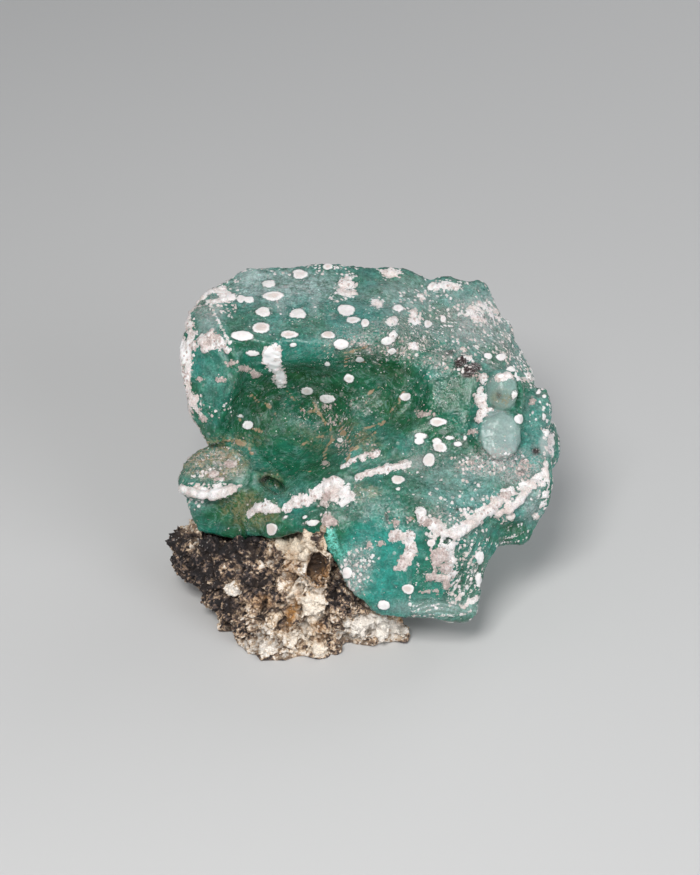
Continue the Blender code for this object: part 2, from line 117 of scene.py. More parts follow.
# Round lumps of crust: place, width in pixels, height in millimetres, and warmth from white to pink
LUMPS = [
    # left wall
    (201, 340, 13, 0.45, 0.5), (210, 336, 15, 0.6, 0.7), (220, 343, 14, 0.5, 0.6),
    (206, 348, 12, 0.4, 0.6), (226, 350, 9, 0.3, 0.5), (195, 346, 9, 0.3, 0.4),
    (203, 299, 8, 0.3, 0), (212, 294, 10, 0.4, 0), (222, 289, 10, 0.35, 0), (214, 303, 9, 0.35, 0),
    (224, 300, 9, 0.3, 0), (222, 312, 7, 0.25, 0),
    # solid patch in the corner of the hollow
    (270, 352, 18, 0.35, 0), (276, 351, 16, 0.35, 0), (273, 358, 18, 0.35, 0),
    (276, 364, 16, 0.35, 0), (278, 370, 14, 0.35, 0), (280, 376, 13, 0.3, 0),
    (281, 382, 12, 0.3, 0),
    # crown
    (347, 283, 17, 0.5, 0.3), (341, 293, 10, 0.3, 0.1), (353, 293, 9, 0.3, 0.2),
    (377, 303, 11, 0.25, 0.1), (392, 321, 11, 0.3, 0.2), (413, 312, 11, 0.35, 0.2),
    (417, 321, 11, 0.3, 0.3), (421, 297, 9, 0.25, 0.3), (393, 335, 9, 0.25, 0.2),
    (413, 346, 11, 0.2, 0.2), (391, 272, 17, 0.45, 0.3), (381, 271, 9, 0.3, 0.4),
    (436, 288, 10, 0.35, 0.3), (446, 287, 12, 0.45, 0.2), (456, 288, 9, 0.3, 0.4),
    (471, 312, 11, 0.4, 0.1), (480, 305, 13, 0.5, 0.2), (489, 312, 14, 0.5, 0.3),
    (499, 319, 11, 0.4, 0.2), (484, 321, 11, 0.4, 0.3), (475, 318, 9, 0.3, 0.1),
    (464, 350, 9, 0.35, 0.4), (468, 357, 9, 0.3, 0.3), (528, 378, 13, 0.6, 0.4),
    # pebbles at the left of the column, its cap and its foot
    (483, 378, 13, 0.7, 0.7), (481, 390, 9, 0.5, 0.2), (480, 400, 13, 0.65, 0.3),
    (484, 407, 10, 0.5, 0.6), (482, 414, 12, 0.55, 0.7), (479, 420, 8, 0.35, 0.8),
    (489, 410, 7, 0.3, 0.6), (500, 378, 10, 0.35, 0.2), (507, 377, 11, 0.35, 0.1),
    # bars below the hollow
    (347, 466, 8, 0.4, 0.7), (354, 462, 9, 0.45, 0.7), (362, 458, 9, 0.45, 0.6),
    (370, 455, 8, 0.4, 0.7), (377, 453, 7, 0.35, 0.6), (361, 477, 9, 0.45, 0.5),
    (369, 474, 10, 0.5, 0.4), (378, 471, 10, 0.5, 0.5), (387, 469, 10, 0.5, 0.4),
    (396, 467, 9, 0.45, 0.4), (404, 465, 7, 0.35, 0.5),
    # ridge
    (252, 513, 9, 0.4, 0.3), (259, 509, 12, 0.55, 0.2), (267, 507, 13, 0.55, 0.1),
    (289, 507, 9, 0.4, 0.3), (296, 502, 13, 0.55, 0.3), (303, 500, 10, 0.45, 0.2),
    (316, 495, 12, 0.5, 0.3), (326, 489, 15, 0.7, 0.2), (336, 484, 15, 0.7, 0.2),
    (343, 492, 13, 0.55, 0.1), (351, 498, 11, 0.45, 0.1), (333, 498, 12, 0.5, 0.6),
    (324, 502, 11, 0.45, 0.7), (328, 520, 12, 0.4, 0.8),
    # knob
    (185, 490, 8, 0.4, 0), (193, 493, 11, 0.5, 0), (203, 495, 12, 0.5, 0), (213, 495, 12, 0.5, 0),
    (223, 492, 12, 0.5, 0.1), (231, 488, 8, 0.3, 0.1), (214, 473, 9, 0.3, 0.7),
    (233, 465, 10, 0.3, 0.6), (221, 480, 9, 0.25, 0.5),
    # hook on the front of the block
    (392, 539, 9, 0.3, 0.9), (398, 535, 13, 0.4, 0.8), (411, 537, 12, 0.4, 0.6),
    (410, 547, 15, 0.45, 0.6), (407, 557, 13, 0.4, 0.6), (401, 566, 11, 0.35, 0.8),
    (396, 568, 7, 0.25, 0.7),
    # brownish blotch beside it
    (441, 555, 18, 0.3, 0.9), (436, 562, 12, 0.25, 0.9), (445, 568, 15, 0.3, 0.8),
    (431, 577, 12, 0.3, 0.9), (439, 577, 10, 0.25, 0.8), (446, 578, 11, 0.25, 0.7),
    (427, 559, 5, 0.15, 0.3),
    # rim of the block
    (421, 512, 10, 0.3, 0.5), (424, 520, 10, 0.35, 0.8), (432, 523, 12, 0.4, 0.2),
    (438, 529, 13, 0.45, 0.1), (445, 533, 10, 0.4, 0), (443, 543, 9, 0.4, 0),
    (453, 536, 11, 0.45, 0), (452, 545, 10, 0.4, 0), (462, 530, 10, 0.4, 0),
    (471, 524, 11, 0.4, 0.1), (480, 517, 12, 0.45, 0.2), (489, 510, 12, 0.5, 0.2),
    (495, 502, 12, 0.5, 0.3), (504, 495, 13, 0.5, 0.6), (508, 506, 13, 0.45, 0),
    (499, 515, 12, 0.4, 0.1), (511, 517, 11, 0.4, 0), (523, 489, 10, 0.4, 0),
    (531, 484, 11, 0.4, 0), (543, 484, 10, 0.4, 0), (545, 494, 10, 0.4, 0), (542, 505, 10, 0.4, 0),
    (536, 516, 9, 0.4, 0), (545, 470, 6, 0.3, 0), (452, 560, 8, 0.35, 0.2), (453, 572, 9, 0.3, 0),
    (470, 602, 9, 0.3, 0),
    # rear knob
    (546, 432, 11, 0.4, 0.2), (551, 442, 11, 0.5, 0.1), (551, 454, 9, 0.4, 0),
]

# Round swellings with no crust: place, width and height in pixels, height in millimetres
SWELLINGS = [
    (502, 391, 31, 38, 1), (500, 435, 41, 46, 0.55), (213, 462, 66, 34, 0.3),
    (540, 404, 20, 28, 0.3), (248, 276, 26, 16, 0.5), (213, 296, 26, 18, 0.35),
    (471, 370, 18, 13, 0.7), (461, 361, 15, 10, 0.5),
]

# White and pinkish crust on edges, and a painted highlight on the rim of the column's glassy head:
# width, then u and v of each point in the picture
CRUST_LINES = [
    # rim of the front block and its right ledges
    (10, 420, 511, 422, 519, 430, 525, 440, 530, 448, 537),
    (13, 446, 538, 452, 534, 461, 531, 473, 522, 487, 511),
    (11, 487, 511, 497, 503, 504, 496, 512, 491),
    (9, 503, 512, 514, 507, 522, 499, 527, 488, 536, 480, 544, 472),
    (5, 545, 463, 548, 478, 548, 494, 546, 508),
    # ledge of the knob
    (12, 182, 490, 190, 494, 203, 496, 220, 493, 232, 488), (4, 232, 488, 241, 485),
    # bars below the hollow
    (7, 344, 467, 351, 462, 358, 458, 368, 455, 378, 453),
    (9, 358, 477, 366, 474, 375, 471, 386, 469, 397, 468, 407, 464),
    # hooked patch on the front of the block
    (12, 408, 536, 412, 547, 409, 557, 402, 566), (10, 392, 538, 400, 535, 407, 537),
    # patches on the ridge
    (11, 250, 513, 257, 508, 265, 507, 275, 509), (11, 287, 507, 294, 502, 301, 499, 307, 502),
    (10, 316, 494, 322, 487, 330, 482), (5, 345, 492, 352, 497, 357, 502),
    (3, 306, 523, 312, 521, 318, 523),
    # outline of the left wall and of the crown
    (7, 191, 332, 189, 352, 188, 370, 188, 388, 193, 404, 203, 417),
    (5, 187, 325, 193, 306, 200, 296, 210, 289, 230, 277, 250, 270),
    (3.5, 211, 306, 216, 318, 223, 331, 229, 342), (2.5, 290, 267, 313, 264, 336, 266, 358, 269),
    (4, 430, 285, 440, 287, 452, 287, 467, 283), (3, 487, 300, 500, 313, 510, 326, 516, 342),
    # right side of the block and the ledges
    (5, 455, 545, 452, 556), (2, 454, 575, 450, 587, 447, 598), (5, 460, 581, 456, 587, 452, 593),
    (4.5, 460, 594, 456, 602), (1.6, 466, 588, 460, 599), (1.6, 470, 570, 467, 580, 463, 590),
    (1.6, 475, 562, 472, 574, 469, 586), (1.6, 468, 552, 464, 562, 460, 572),
    (1.6, 484, 541, 480, 548, 475, 556), (1.6, 474, 538, 469, 547, 464, 556),
    (1.6, 490, 536, 485, 543), (6, 476, 598, 470, 603, 463, 607),
    (2.2, 505, 537, 514, 536, 523, 533, 531, 529), (2.6, 496, 543, 508, 542, 519, 541, 526, 538),
    (1.5, 500, 529, 512, 528, 522, 524), (1.6, 526, 389, 537, 388, 549, 391, 550, 404, 548, 420),
    # the first line below is a painted highlight along the rim of the column's glassy head
    (1.5, 500, 373, 508, 373, 514, 379, 517, 388, 516, 399), (2.5, 409, 597, 411, 605),
    (4, 542, 449, 545, 458, 547, 466), (1.5, 417, 545, 418, 562, 416, 582),
    (1.4, 410, 608, 424, 602, 438, 598, 450, 601, 462, 607),
    (1.2, 412, 611, 428, 606, 442, 604, 456, 608),
    (2.2, 414, 616, 432, 616, 450, 615, 466, 614, 476, 606),
    # speckles that run in rows
    (1.5, 418, 472, 425, 483, 432, 496, 439, 508), (1.2, 277, 302, 281, 314),
    (1.2, 313, 299, 317, 317), (2, 322, 296, 332, 299, 338, 291),
]

# The same crust in patches: place, width, height, density and, if it is turned, degrees
CRUST_PATCHES = [
    (272, 358, 18, 24, 2), (280, 378, 11, 18, 2, 8), (267, 362, 16, 14, 0.5),
    (347, 286, 24, 27, 0.8), (335, 298, 18, 9, 0.6, 30), (219, 296, 34, 20, 1, 10),
    (228, 308, 14, 20, 0.7), (483, 312, 46, 22, 0.75, 15), (467, 312, 16, 12, 0.6),
    (497, 312, 18, 18, 0.6), (377, 303, 14, 12, 1), (392, 321, 14, 13, 0.9),
    (415, 316, 15, 19, 0.95), (421, 297, 11, 10, 0.9), (393, 336, 11, 9, 0.9),
    (413, 346, 14, 9, 0.9), (447, 286, 34, 9, 1), (391, 274, 20, 11, 0.95, 10),
    (505, 378, 18, 7, 1.3, 10), (337, 487, 32, 20, 1, -25), (345, 498, 22, 14, 1, 30),
    (482, 398, 9, 30, 0.6), (212, 342, 34, 18, 0.9, -8), (190, 345, 10, 26, 0.8),
    (185, 370, 14, 84, 1.15, -3), (189, 328, 13, 50, 1, 10), (196, 303, 10, 30, 0.8, 35),
    (192, 404, 14, 20, 1, -30), (511, 500, 24, 16, 0.8, -40), (534, 488, 20, 24, 0.6, 20),
    (474, 519, 32, 12, 0.9, -38), (437, 530, 28, 16, 0.8, 30), (440, 562, 22, 40, 0.5, 15),
    (529, 379, 11, 10, 1.4), (505, 466, 46, 26, 0.34, 10), (466, 463, 40, 22, 0.28, -10),
    (355, 570, 34, 60, 0.4, -30), (497, 508, 40, 26, 0.55, -30), (504, 498, 26, 20, 0.45),
    (543, 488, 12, 52, 0.45), (526, 486, 18, 12, 1, -20), (436, 525, 20, 14, 1, 35),
    (450, 538, 22, 20, 1), (450, 556, 12, 34, 0.75, 4), (453, 578, 9, 34, 0.6, 12),
    (464, 560, 16, 30, 0.35, 20), (470, 575, 18, 40, 0.22, 15), (549, 442, 12, 26, 0.8),
    (452, 522, 44, 14, 0.5, -20), (208, 489, 50, 12, 1.1), (193, 502, 18, 14, 0.5),
    (448, 360, 20, 7, 0.6, 15), (205, 474, 30, 12, 0.45), (268, 508, 30, 8, 0.6, -5),
    (327, 516, 13, 12, 0.8), (384, 605, 10, 9, 1), (463, 545, 12, 20, 0.4),
    (500, 357, 40, 14, 0.35), (425, 330, 70, 60, 0.2), (300, 270, 110, 10, 0.35),
    (220, 410, 26, 20, 0.25, 20), (455, 606, 30, 9, 0.45, 5), (478, 556, 8, 10, 0.9),
    (479, 584, 6, 16, 0.9), (446, 549, 14, 16, 0.9), (457, 492, 50, 34, 0.14),
    (540, 410, 20, 30, 0.22), (470, 335, 90, 70, 0.3, 40), (512, 345, 30, 60, 0.4, 25),
    (232, 285, 18, 20, 0.45), (420, 300, 60, 30, 0.3, 10),
]

# Where the crust follows the outline, in the same form
RIMS = [
    (196, 345, 60, 190, 1.4, 8), (225, 285, 80, 46, 1, 30), (300, 272, 130, 26, 0.65),
    (365, 275, 60, 24, 0.45), (440, 292, 70, 24, 0.75), (490, 320, 60, 80, 0.75, 35),
    (520, 368, 40, 40, 0.9, 20), (540, 400, 30, 30, 0.6), (546, 440, 24, 50, 1),
    (542, 478, 22, 50, 0.65), (440, 610, 90, 20, 0.9), (472, 580, 26, 60, 0.5),
    (190, 475, 30, 50, 0.8),
]

# Brownish pink cover, in the same form
BLUSH = [
    (186, 380, 12, 56, 0.6, -3), (190, 330, 10, 40, 0.4, 10), (197, 411, 14, 8, 0.6, 40),
    (440, 557, 21, 22, 0.78, 20), (446, 571, 14, 22, 0.7, 10), (432, 577, 14, 12, 0.78, 20),
    (447, 585, 9, 16, 0.62), (431, 542, 8, 8, 0.9), (427, 522, 12, 11, 0.9),
    (436, 566, 12, 14, 0.6), (360, 345, 18, 9, 0.55), (372, 350, 16, 8, 0.6),
    (385, 352, 14, 9, 0.55, 10), (398, 353, 18, 9, 0.6, 10), (412, 357, 14, 9, 0.5, 10),
    (426, 362, 18, 9, 0.6, 20), (440, 368, 14, 8, 0.55, 20), (405, 340, 12, 8, 0.5),
    (325, 406, 18, 10, 0.55, 10), (334, 420, 18, 12, 0.6, 20), (346, 431, 16, 10, 0.55),
    (305, 411, 16, 8, 0.5, 10), (352, 399, 16, 8, 0.5), (343, 448, 14, 22, 0.5, 20),
    (362, 440, 30, 8, 0.5, -35), (352, 345, 14, 20, 0.45), (240, 441, 26, 6, 0.4, 5),
    (355, 490, 14, 10, 0.5), (330, 521, 14, 13, 1), (211, 340, 26, 14, 0.75),
    (504, 495, 12, 10, 0.8), (478, 377, 8, 8, 0.8), (524, 470, 16, 20, 0.6),
    (476, 465, 30, 12, 0.4), (392, 523, 10, 6, 0.9), (398, 536, 10, 8, 0.8), (401, 567, 9, 8, 0.9),
    (411, 548, 10, 22, 0.55, 10), (405, 562, 9, 12, 0.6, 30),
]

# Tan and orange threads: width, then u and v of each point
TAN_LINES = [
    (2.6, 366, 346, 357, 350, 348, 353, 345, 362, 347, 377), (1.8, 345, 353, 352, 361, 364, 362),
    (2, 252, 395, 259, 402, 268, 405, 275, 413), (1.6, 288, 392, 296, 402, 305, 412, 318, 410),
    (1.8, 313, 399, 318, 412, 326, 423, 338, 426), (4, 325, 462, 325, 452, 332, 440, 331, 429),
    (4.2, 346, 465, 352, 452, 349, 441, 343, 432, 340, 424),
    (3.4, 352, 452, 366, 443, 378, 432, 384, 422), (2.6, 300, 446, 310, 440, 322, 436),
    (2.4, 356, 436, 366, 428, 378, 424), (2, 388, 414, 398, 404, 404, 392),
    (3.6, 206, 443, 218, 440, 232, 440, 248, 445, 252, 452), (2.6, 386, 515, 388, 522),
    (2.4, 391, 523, 400, 521, 412, 519), (1.8, 240, 420, 250, 428, 262, 432),
    (1.6, 355, 400, 366, 396, 376, 388, 392, 384), (2, 262, 466, 272, 470, 280, 478),
    (2, 292, 478, 300, 470, 310, 472),
]

# Creases and raised edges: height in millimetres, width in pixels, then u and v of each point
EDGES = [
    # both sides of the column, its waist, and the lobe next to it
    (-0.6, 5, 478, 424, 478, 436, 482, 450), (-0.6, 5, 482, 450, 490, 460, 502, 462, 515, 455),
    (-0.5, 4, 226, 287, 231, 283, 236, 280),
    (-0.9, 5, 519, 376, 520, 390, 518, 406, 522, 424, 523, 438, 517, 452),
    (-0.45, 5, 488, 416, 500, 411, 514, 412), (0.35, 6, 526, 390, 538, 390, 549, 392),
    (-0.5, 6, 526, 431, 538, 430, 548, 428),
    # under the rim of the block and around its ledges
    (0.45, 7, 420, 516, 436, 527, 448, 538, 461, 531, 475, 521, 490, 509, 508, 496),
    (0.4, 6, 508, 512, 520, 502, 527, 488, 540, 479),
    (-0.6, 6, 466, 538, 480, 529, 494, 519, 508, 516, 522, 508, 534, 492),
    (-0.35, 3, 497, 530, 513, 528, 530, 519, 542, 508), (0.3, 3, 497, 537, 513, 536, 531, 527),
    # edge between the front and the right side of the block, and the lip below
    (0.45, 6, 447, 543, 448, 560, 447, 580, 440, 598), (-0.45, 7, 462, 548, 462, 568, 460, 588),
    (0.35, 4, 482, 548, 480, 570, 477, 592),
    (0.5, 4, 414, 611, 430, 612, 450, 614, 468, 610, 474, 600),
    (-0.4, 4, 410, 602, 428, 600, 446, 602, 462, 604),
    # bars below the hollow
    (0.45, 4, 344, 467, 358, 458, 378, 453), (0.5, 5, 358, 477, 375, 471, 397, 468, 407, 464),
    (-0.4, 4, 352, 473, 366, 466, 384, 461, 400, 458),
    # right edge of the hollow
    (0.4, 7, 352, 452, 372, 436, 388, 424, 408, 402, 422, 384, 432, 368),
    # knob, its ledge and the crack beside it
    (0.45, 7, 182, 489, 203, 495, 220, 492, 234, 487),
    (-0.6, 6, 184, 499, 205, 503, 224, 501, 238, 495),
    (0.5, 5, 206, 443, 220, 439, 236, 439, 250, 445), (-0.5, 5, 252, 452, 252, 468, 246, 484),
    (0.3, 5, 254, 446, 262, 458, 272, 468, 286, 480),
    # left wall
    (0.4, 4, 211, 306, 216, 318, 223, 331, 229, 342), (-0.4, 6, 222, 350, 228, 362, 232, 378),
    (0.35, 6, 230, 344, 234, 360, 232, 380, 226, 398), (-0.3, 4, 207, 308, 211, 320, 217, 333),
    # ridge in front and the hollow under its patches
    (-0.45, 6, 262, 518, 285, 515, 310, 512, 322, 508), (0.3, 6, 333, 505, 345, 512, 360, 512),
    (-0.4, 5, 330, 526, 338, 545, 350, 566, 362, 584),
    # rim above the hollow
    (0.3, 8, 284, 340, 310, 342, 340, 346, 370, 344), (-0.3, 9, 290, 372, 310, 378, 330, 378),
]

# Zones on the photographed side: blur in pixels, then patches in the form of the crust's
ZONES = {
    "smooth": (5, [
        (502, 391, 32, 40, 1), (500, 436, 40, 46, 0.35), (209, 322, 24, 36, 0.8, -20),
        (538, 406, 24, 30, 0.6),
    ]),
    "glass": (4, [
        (502, 391, 31, 38, 1), (538, 404, 22, 26, 0.5),
    ]),
    "grit": (10, [
        (492, 462, 74, 26, 1, 6), (520, 470, 44, 30, 0.8, 20), (447, 356, 40, 20, 0.7, 15),
        (350, 578, 30, 66, 0.8, -30), (215, 466, 64, 30, 0.5), (452, 520, 60, 20, 0.6, -25),
        (470, 318, 80, 40, 0.5, 20), (515, 350, 30, 50, 0.5, 10), (356, 340, 90, 30, 0.4),
        (538, 470, 20, 50, 0.6), (345, 500, 50, 40, 0.25), (205, 300, 40, 40, 0.6),
        (400, 335, 110, 40, 0.5, 8), (425, 462, 50, 24, 0.5),
    ]),
    "murky": (12, [
        (250, 510, 60, 44, 1, -8), (300, 380, 80, 30, 0.4), (262, 420, 50, 60, 0.25, -25),
        (350, 430, 70, 26, 0.75, -35), (400, 415, 60, 24, 0.5, -30), (320, 400, 60, 30, 0.4),
        (284, 490, 40, 20, 0.6, -25), (213, 460, 60, 30, 0.8), (390, 370, 70, 24, 0.3),
        (372, 500, 40, 20, 0.4), (360, 485, 50, 16, 0.5, -15), (530, 372, 18, 16, 0.5),
    ]),
    "greyish": (18, [
        (500, 335, 90, 90, 1, 30), (455, 300, 80, 40, 0.7, 10), (285, 285, 120, 34, 0.9),
        (400, 300, 80, 40, 0.6), (545, 440, 20, 30, 0.8), (212, 322, 24, 40, 0.4, -20),
        (460, 490, 90, 40, 0.3, -8), (530, 504, 22, 34, 1, 20), (440, 608, 80, 16, 0.6),
    ]),
    "frost": (16, [
        (285, 288, 130, 46, 0.9), (410, 296, 130, 34, 0.75, 4), (482, 320, 64, 60, 0.75, 35),
        (212, 322, 26, 44, 0.8, -20), (455, 488, 110, 46, 0.55, -8), (505, 470, 70, 40, 0.6),
        (520, 348, 30, 40, 0.6, 20), (212, 378, 26, 34, 0.35), (538, 410, 24, 40, 0.5),
        (270, 325, 60, 30, 0.45), (352, 575, 34, 60, 0.7, -30), (530, 504, 22, 34, 1, 20),
        (340, 320, 120, 30, 0.3), (193, 503, 24, 12, 0.8), (440, 608, 80, 16, 1),
        (375, 500, 50, 30, 0.3), (470, 575, 26, 70, 0.25, -8),
    ]),
    # deep greens of the hollow; the narrow strips under the rims, ledges and knob and in the creases
    # are painted shade
    "deep": (18, [
        (305, 400, 130, 90, 0.8, 8), (292, 452, 96, 60, 1, -20), (370, 385, 120, 70, 1, -12),
        (250, 395, 40, 90, 0.9, -15), (400, 360, 90, 50, 0.6, 10), (410, 415, 110, 50, 0.9, -20),
        (290, 524, 70, 18, 0.9, -4), (508, 528, 50, 16, 0.9, -20), (470, 540, 24, 12, 0.7, -30),
        (455, 405, 50, 60, 0.9), (240, 502, 40, 20, 0.3), (468, 575, 22, 60, 0.6, -4),
        (205, 512, 44, 20, 0.5), (515, 536, 44, 10, 1, -5), (420, 560, 40, 60, 0.35),
        (534, 511, 8, 26, 0.9, 25), (521, 402, 7, 40, 1), (385, 503, 80, 44, 0.4),
        (426, 444, 60, 20, 0.8),
    ]),
    # darkest greens, partly painted shade under the rim, on the shaded wall of the hollow and in
    # creases
    "darkest_and_shade": (9, [
        (302, 377, 38, 12, 1), (263, 400, 30, 48, 0.7, -25), (350, 400, 50, 34, 0.35),
        (275, 484, 24, 8, 1, -35), (240, 428, 18, 26, 0.5), (260, 420, 30, 44, 0.5, -15),
        (325, 412, 60, 26, 0.35), (205, 512, 40, 12, 0.3), (392, 366, 46, 14, 0.35, 10),
        (457, 556, 6, 12, 0.9, 20), (512, 528, 22, 8, 0.7, -10), (500, 540, 16, 4, 0.8),
        (457, 398, 22, 26, 0.35),
    ]),
    "vivid": (16, [
        (380, 560, 80, 90, 1), (395, 590, 60, 40, 0.8), (284, 458, 50, 40, 0.35, -20),
        (375, 500, 60, 40, 0.35), (430, 580, 40, 50, 0.5), (475, 535, 44, 20, 0.8, -30),
        (215, 372, 30, 36, 0.5), (316, 357, 76, 26, 0.75), (536, 408, 26, 30, 0.7),
    ]),
    "olive": (8, [
        (213, 462, 70, 34, 1), (250, 510, 60, 34, 0.5, -8), (232, 442, 50, 12, 0.8),
        (320, 440, 60, 22, 0.3, -10), (362, 438, 44, 18, 0.6, -38), (270, 480, 30, 20, 0.4, -30),
        (355, 352, 30, 14, 0.35), (503, 398, 18, 14, 0.7), (360, 492, 40, 16, 0.5),
    ]),
    "speckle": (18, [
        (385, 345, 130, 50, 1, 8), (330, 408, 120, 46, 0.75), (430, 385, 60, 50, 0.5, -10),
        (268, 400, 50, 50, 0.3), (470, 330, 90, 60, 0.35, 20), (330, 436, 60, 30, 0.5),
        (460, 440, 110, 40, 0.6), (270, 315, 80, 40, 0.45), (215, 465, 66, 34, 0.9),
        (452, 490, 110, 50, 0.45), (505, 468, 60, 40, 1), (400, 510, 120, 50, 0.45),
        (540, 410, 24, 40, 0.6), (520, 350, 30, 40, 0.35), (350, 570, 40, 70, 0.6, -30),
        (470, 560, 30, 80, 0.7, -8), (390, 400, 80, 60, 0.35), (310, 318, 90, 30, 0.6),
    ]),
    "pale": (4, [
        (500, 436, 40, 47, 0.75), (547, 444, 14, 24, 0.9), (502, 391, 31, 38, 0.58),
        (211, 321, 18, 38, 0.38, -24), (204, 316, 14, 20, 0.3), (496, 415, 24, 14, 0.7),
        (440, 608, 80, 12, 0.4), (247, 274, 24, 18, 0.5), (281, 309, 9, 16, 0.5, 20),
        (314, 307, 9, 20, 0.45, -15), (417, 463, 22, 14, 0.4, 20),
    ]),
    "turquoise": (4, [(331, 541, 13, 30, 1, 8), (342, 552, 12, 18, 0.5)]),
    "brown": (3, [
        (471, 370, 22, 13, 1.2, 30), (462, 362, 18, 10, 1.1, 35), (450, 353, 12, 6, 0.7, 20),
        (265, 479, 12, 6, 0.8, 20), (458, 509, 6, 4, 0.9), (471, 508, 7, 4, 0.8, 10),
        (387, 518, 3, 9, 0.9), (447, 540, 8, 4, 0.9, 15), (278, 398, 10, 5, 0.5),
        (536, 451, 8, 7, 1), (445, 580, 4, 3, 0.9), (500, 394, 4, 6, 0.7), (492, 407, 5, 3, 0.7),
        (538, 397, 5, 4, 0.7), (477, 421, 7, 4, 0.8), (522, 472, 8, 7, 0.6),
        (525, 460, 8, 5, 0.6, 30),
    ]),
    # painted shade on the rock's left lobe, its lower left and in its cavity
    "shade": (8, [
        (164, 545, 50, 90, 0.55), (178, 588, 32, 46, 0.55, -20), (313, 562, 10, 18, 0.5),
        (196, 600, 30, 40, 0.2, -30),
    ]),
    # dark crumbs of the rock; on the left lobe this darkening is partly painted shade
    "dark": (7, [
        (243, 548, 56, 32, 0.8, 10), (168, 545, 30, 60, 1.1), (200, 575, 44, 40, 0.9, -20),
        (315, 566, 14, 20, 0.6), (345, 603, 30, 34, 0.15, 30), (224, 605, 26, 22, 0.9),
        (250, 578, 40, 26, 0.8), (326, 640, 14, 30, 0.9), (345, 585, 26, 16, 0.3, 30),
        (262, 618, 20, 16, 0.6), (212, 545, 40, 24, 0.9, 20), (265, 605, 30, 40, 0.4),
        (175, 580, 30, 30, 1.2),
    ]),
    "cream": (7, [
        (304, 538, 64, 40, 1.25), (298, 558, 28, 36, 1), (313, 550, 30, 18, 0.9),
        (232, 590, 15, 20, 1), (308, 600, 44, 56, 0.75), (290, 642, 90, 32, 0.85),
        (378, 630, 76, 26, 1.5), (255, 636, 40, 36, 0.45), (282, 582, 20, 26, 0.7),
        (259, 566, 18, 20, 0.6), (330, 612, 20, 20, 0.4),
    ]),
    "rust": (4, [
        (291, 612, 10, 40, 1.1, -20), (404, 620, 12, 9, 1), (290, 565, 14, 40, 0.4),
        (318, 575, 26, 34, 0.6), (262, 603, 22, 16, 0.4), (316, 628, 18, 12, 0.6),
        (311, 536, 30, 14, 0.3), (320, 541, 14, 24, 0.6), (322, 640, 10, 10, 0.6),
    ]),
    "warm": (8, [
        (303, 540, 62, 50, 0.9), (296, 612, 60, 60, 0.5), (315, 645, 50, 26, 0.6),
    ]),
}
MASS_ZONES = (
    "glass", "grit", "murky", "greyish", "frost", "deep", "darkest_and_shade", "vivid", "olive", "speckle",
    "pale", "turquoise", "brown",
)
ROCK_ZONES = ("shade", "dark", "cream", "rust", "warm")

# Chunks of the rock: place, width in pixels, height in millimetres, and tone from dark to cream
ROCK_LUMPS = [
    (209, 541, 26, 1.2, 0.2), (200, 529, 18, 0.9, 0.45), (228, 529, 18, 0.8, 0.35),
    (255, 537, 22, 1.1, 0.15), (240, 546, 18, 0.8, 0.4), (227, 572, 22, 1, 0.3),
    (232, 591, 20, 1.1, 0.85), (259, 566, 20, 0.9, 0.65), (284, 585, 21, 1, 0.6),
    (294, 546, 20, 0.7, 0.85), (309, 541, 18, 0.6, 0.8), (323, 546, 16, 0.5, 0.55),
    (299, 531, 13, 0.4, 0.95), (315, 531, 12, 0.4, 0.75), (286, 557, 16, 0.6, 0.75),
    (301, 558, 15, 0.5, 0.85), (279, 541, 16, 0.6, 0.7), (251, 606, 28, 1, 0.7),
    (312, 603, 32, 1.1, 0.95), (336, 615, 28, 0.9, 0.6), (316, 590, 20, 0.7, 0.85),
    (327, 629, 16, 0.7, 0.75), (320, 652, 24, 0.8, 0.9), (264, 650, 26, 0.9, 0.85),
    (238, 633, 20, 0.8, 0.35), (290, 640, 24, 0.9, 0.9), (362, 628, 28, 0.6, 1),
    (384, 634, 24, 0.5, 0.95), (166, 540, 26, 0.9, 0.25), (181, 562, 22, 0.9, 0.2),
    (196, 578, 20, 0.8, 0.3), (212, 600, 20, 0.8, 0.45), (222, 618, 18, 0.7, 0.5),
    (345, 598, 22, 0.8, 0.5), (322, 575, 15, 0.9, 0.45), (272, 622, 20, 0.8, 0.8),
]

# Single places in the same forms: layers on the block's side and lip, a hole, and the rock's openings
SIDE_LAYERS = [
    (466, 575, 26, 66, 1, -8), (480, 540, 40, 22, 0.8, -30), (515, 530, 40, 18, 0.5, -10),
]
LIP_LAYERS = [(440, 608, 66, 18, 1)]
RIM_HOLE = [(447, 540, 9, 5, 1, 15)]
ROCK_CAVITY = [(314, 568, 15, 20, 1)]
ROCK_CREVICE = [(4, 291, 598, 296, 612, 301, 629)]


def pixels(points):
    """Where points are in the picture."""
    away = points - np.array(EYE)
    depth = away @ np.array(FORWARD)
    u = WIDTH / 2 + FOCAL_PX * (away @ np.array(RIGHT)) / depth
    v = HEIGHT / 2 - FOCAL_PX * (away @ np.array(UP)) / depth
    return u, v


def ray(u, v):
    """The way from the camera through a pixel."""
    right = (u - WIDTH / 2) / FOCAL_PX
    up = (HEIGHT / 2 - v) / FOCAL_PX
    return (FORWARD + RIGHT * right + UP * up).normalized()


def fine_copy(node, name, face_mm):
    """A new object with the node's shape in small even faces, twice as fine where the camera sees."""
    obj = bpy.data.objects.new(name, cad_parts[node].data.copy())
    obj.data.materials.clear()
    bpy.context.scene.collection.objects.link(obj)
    weld = obj.modifiers.new("weld", "WELD")
    weld.merge_threshold = 1e-6
    remesh = obj.modifiers.new("remesh", "REMESH")
    remesh.mode = "VOXEL"
    remesh.voxel_size = face_mm * MM
    smooth_and_apply(obj)
    refine_seen(obj.data)
    smooth_and_apply(obj)
    return obj


def smooth_and_apply(obj):
    smooth = obj.modifiers.new("smooth", "SMOOTH")
    smooth.factor = 0.5
    smooth.iterations = 2
    graph = bpy.context.evaluated_depsgraph_get()
    graph.update()
    mesh = bpy.data.meshes.new_from_object(obj.evaluated_get(graph))
    mesh.name = obj.name
    obj.modifiers.clear()
    obj.data = mesh


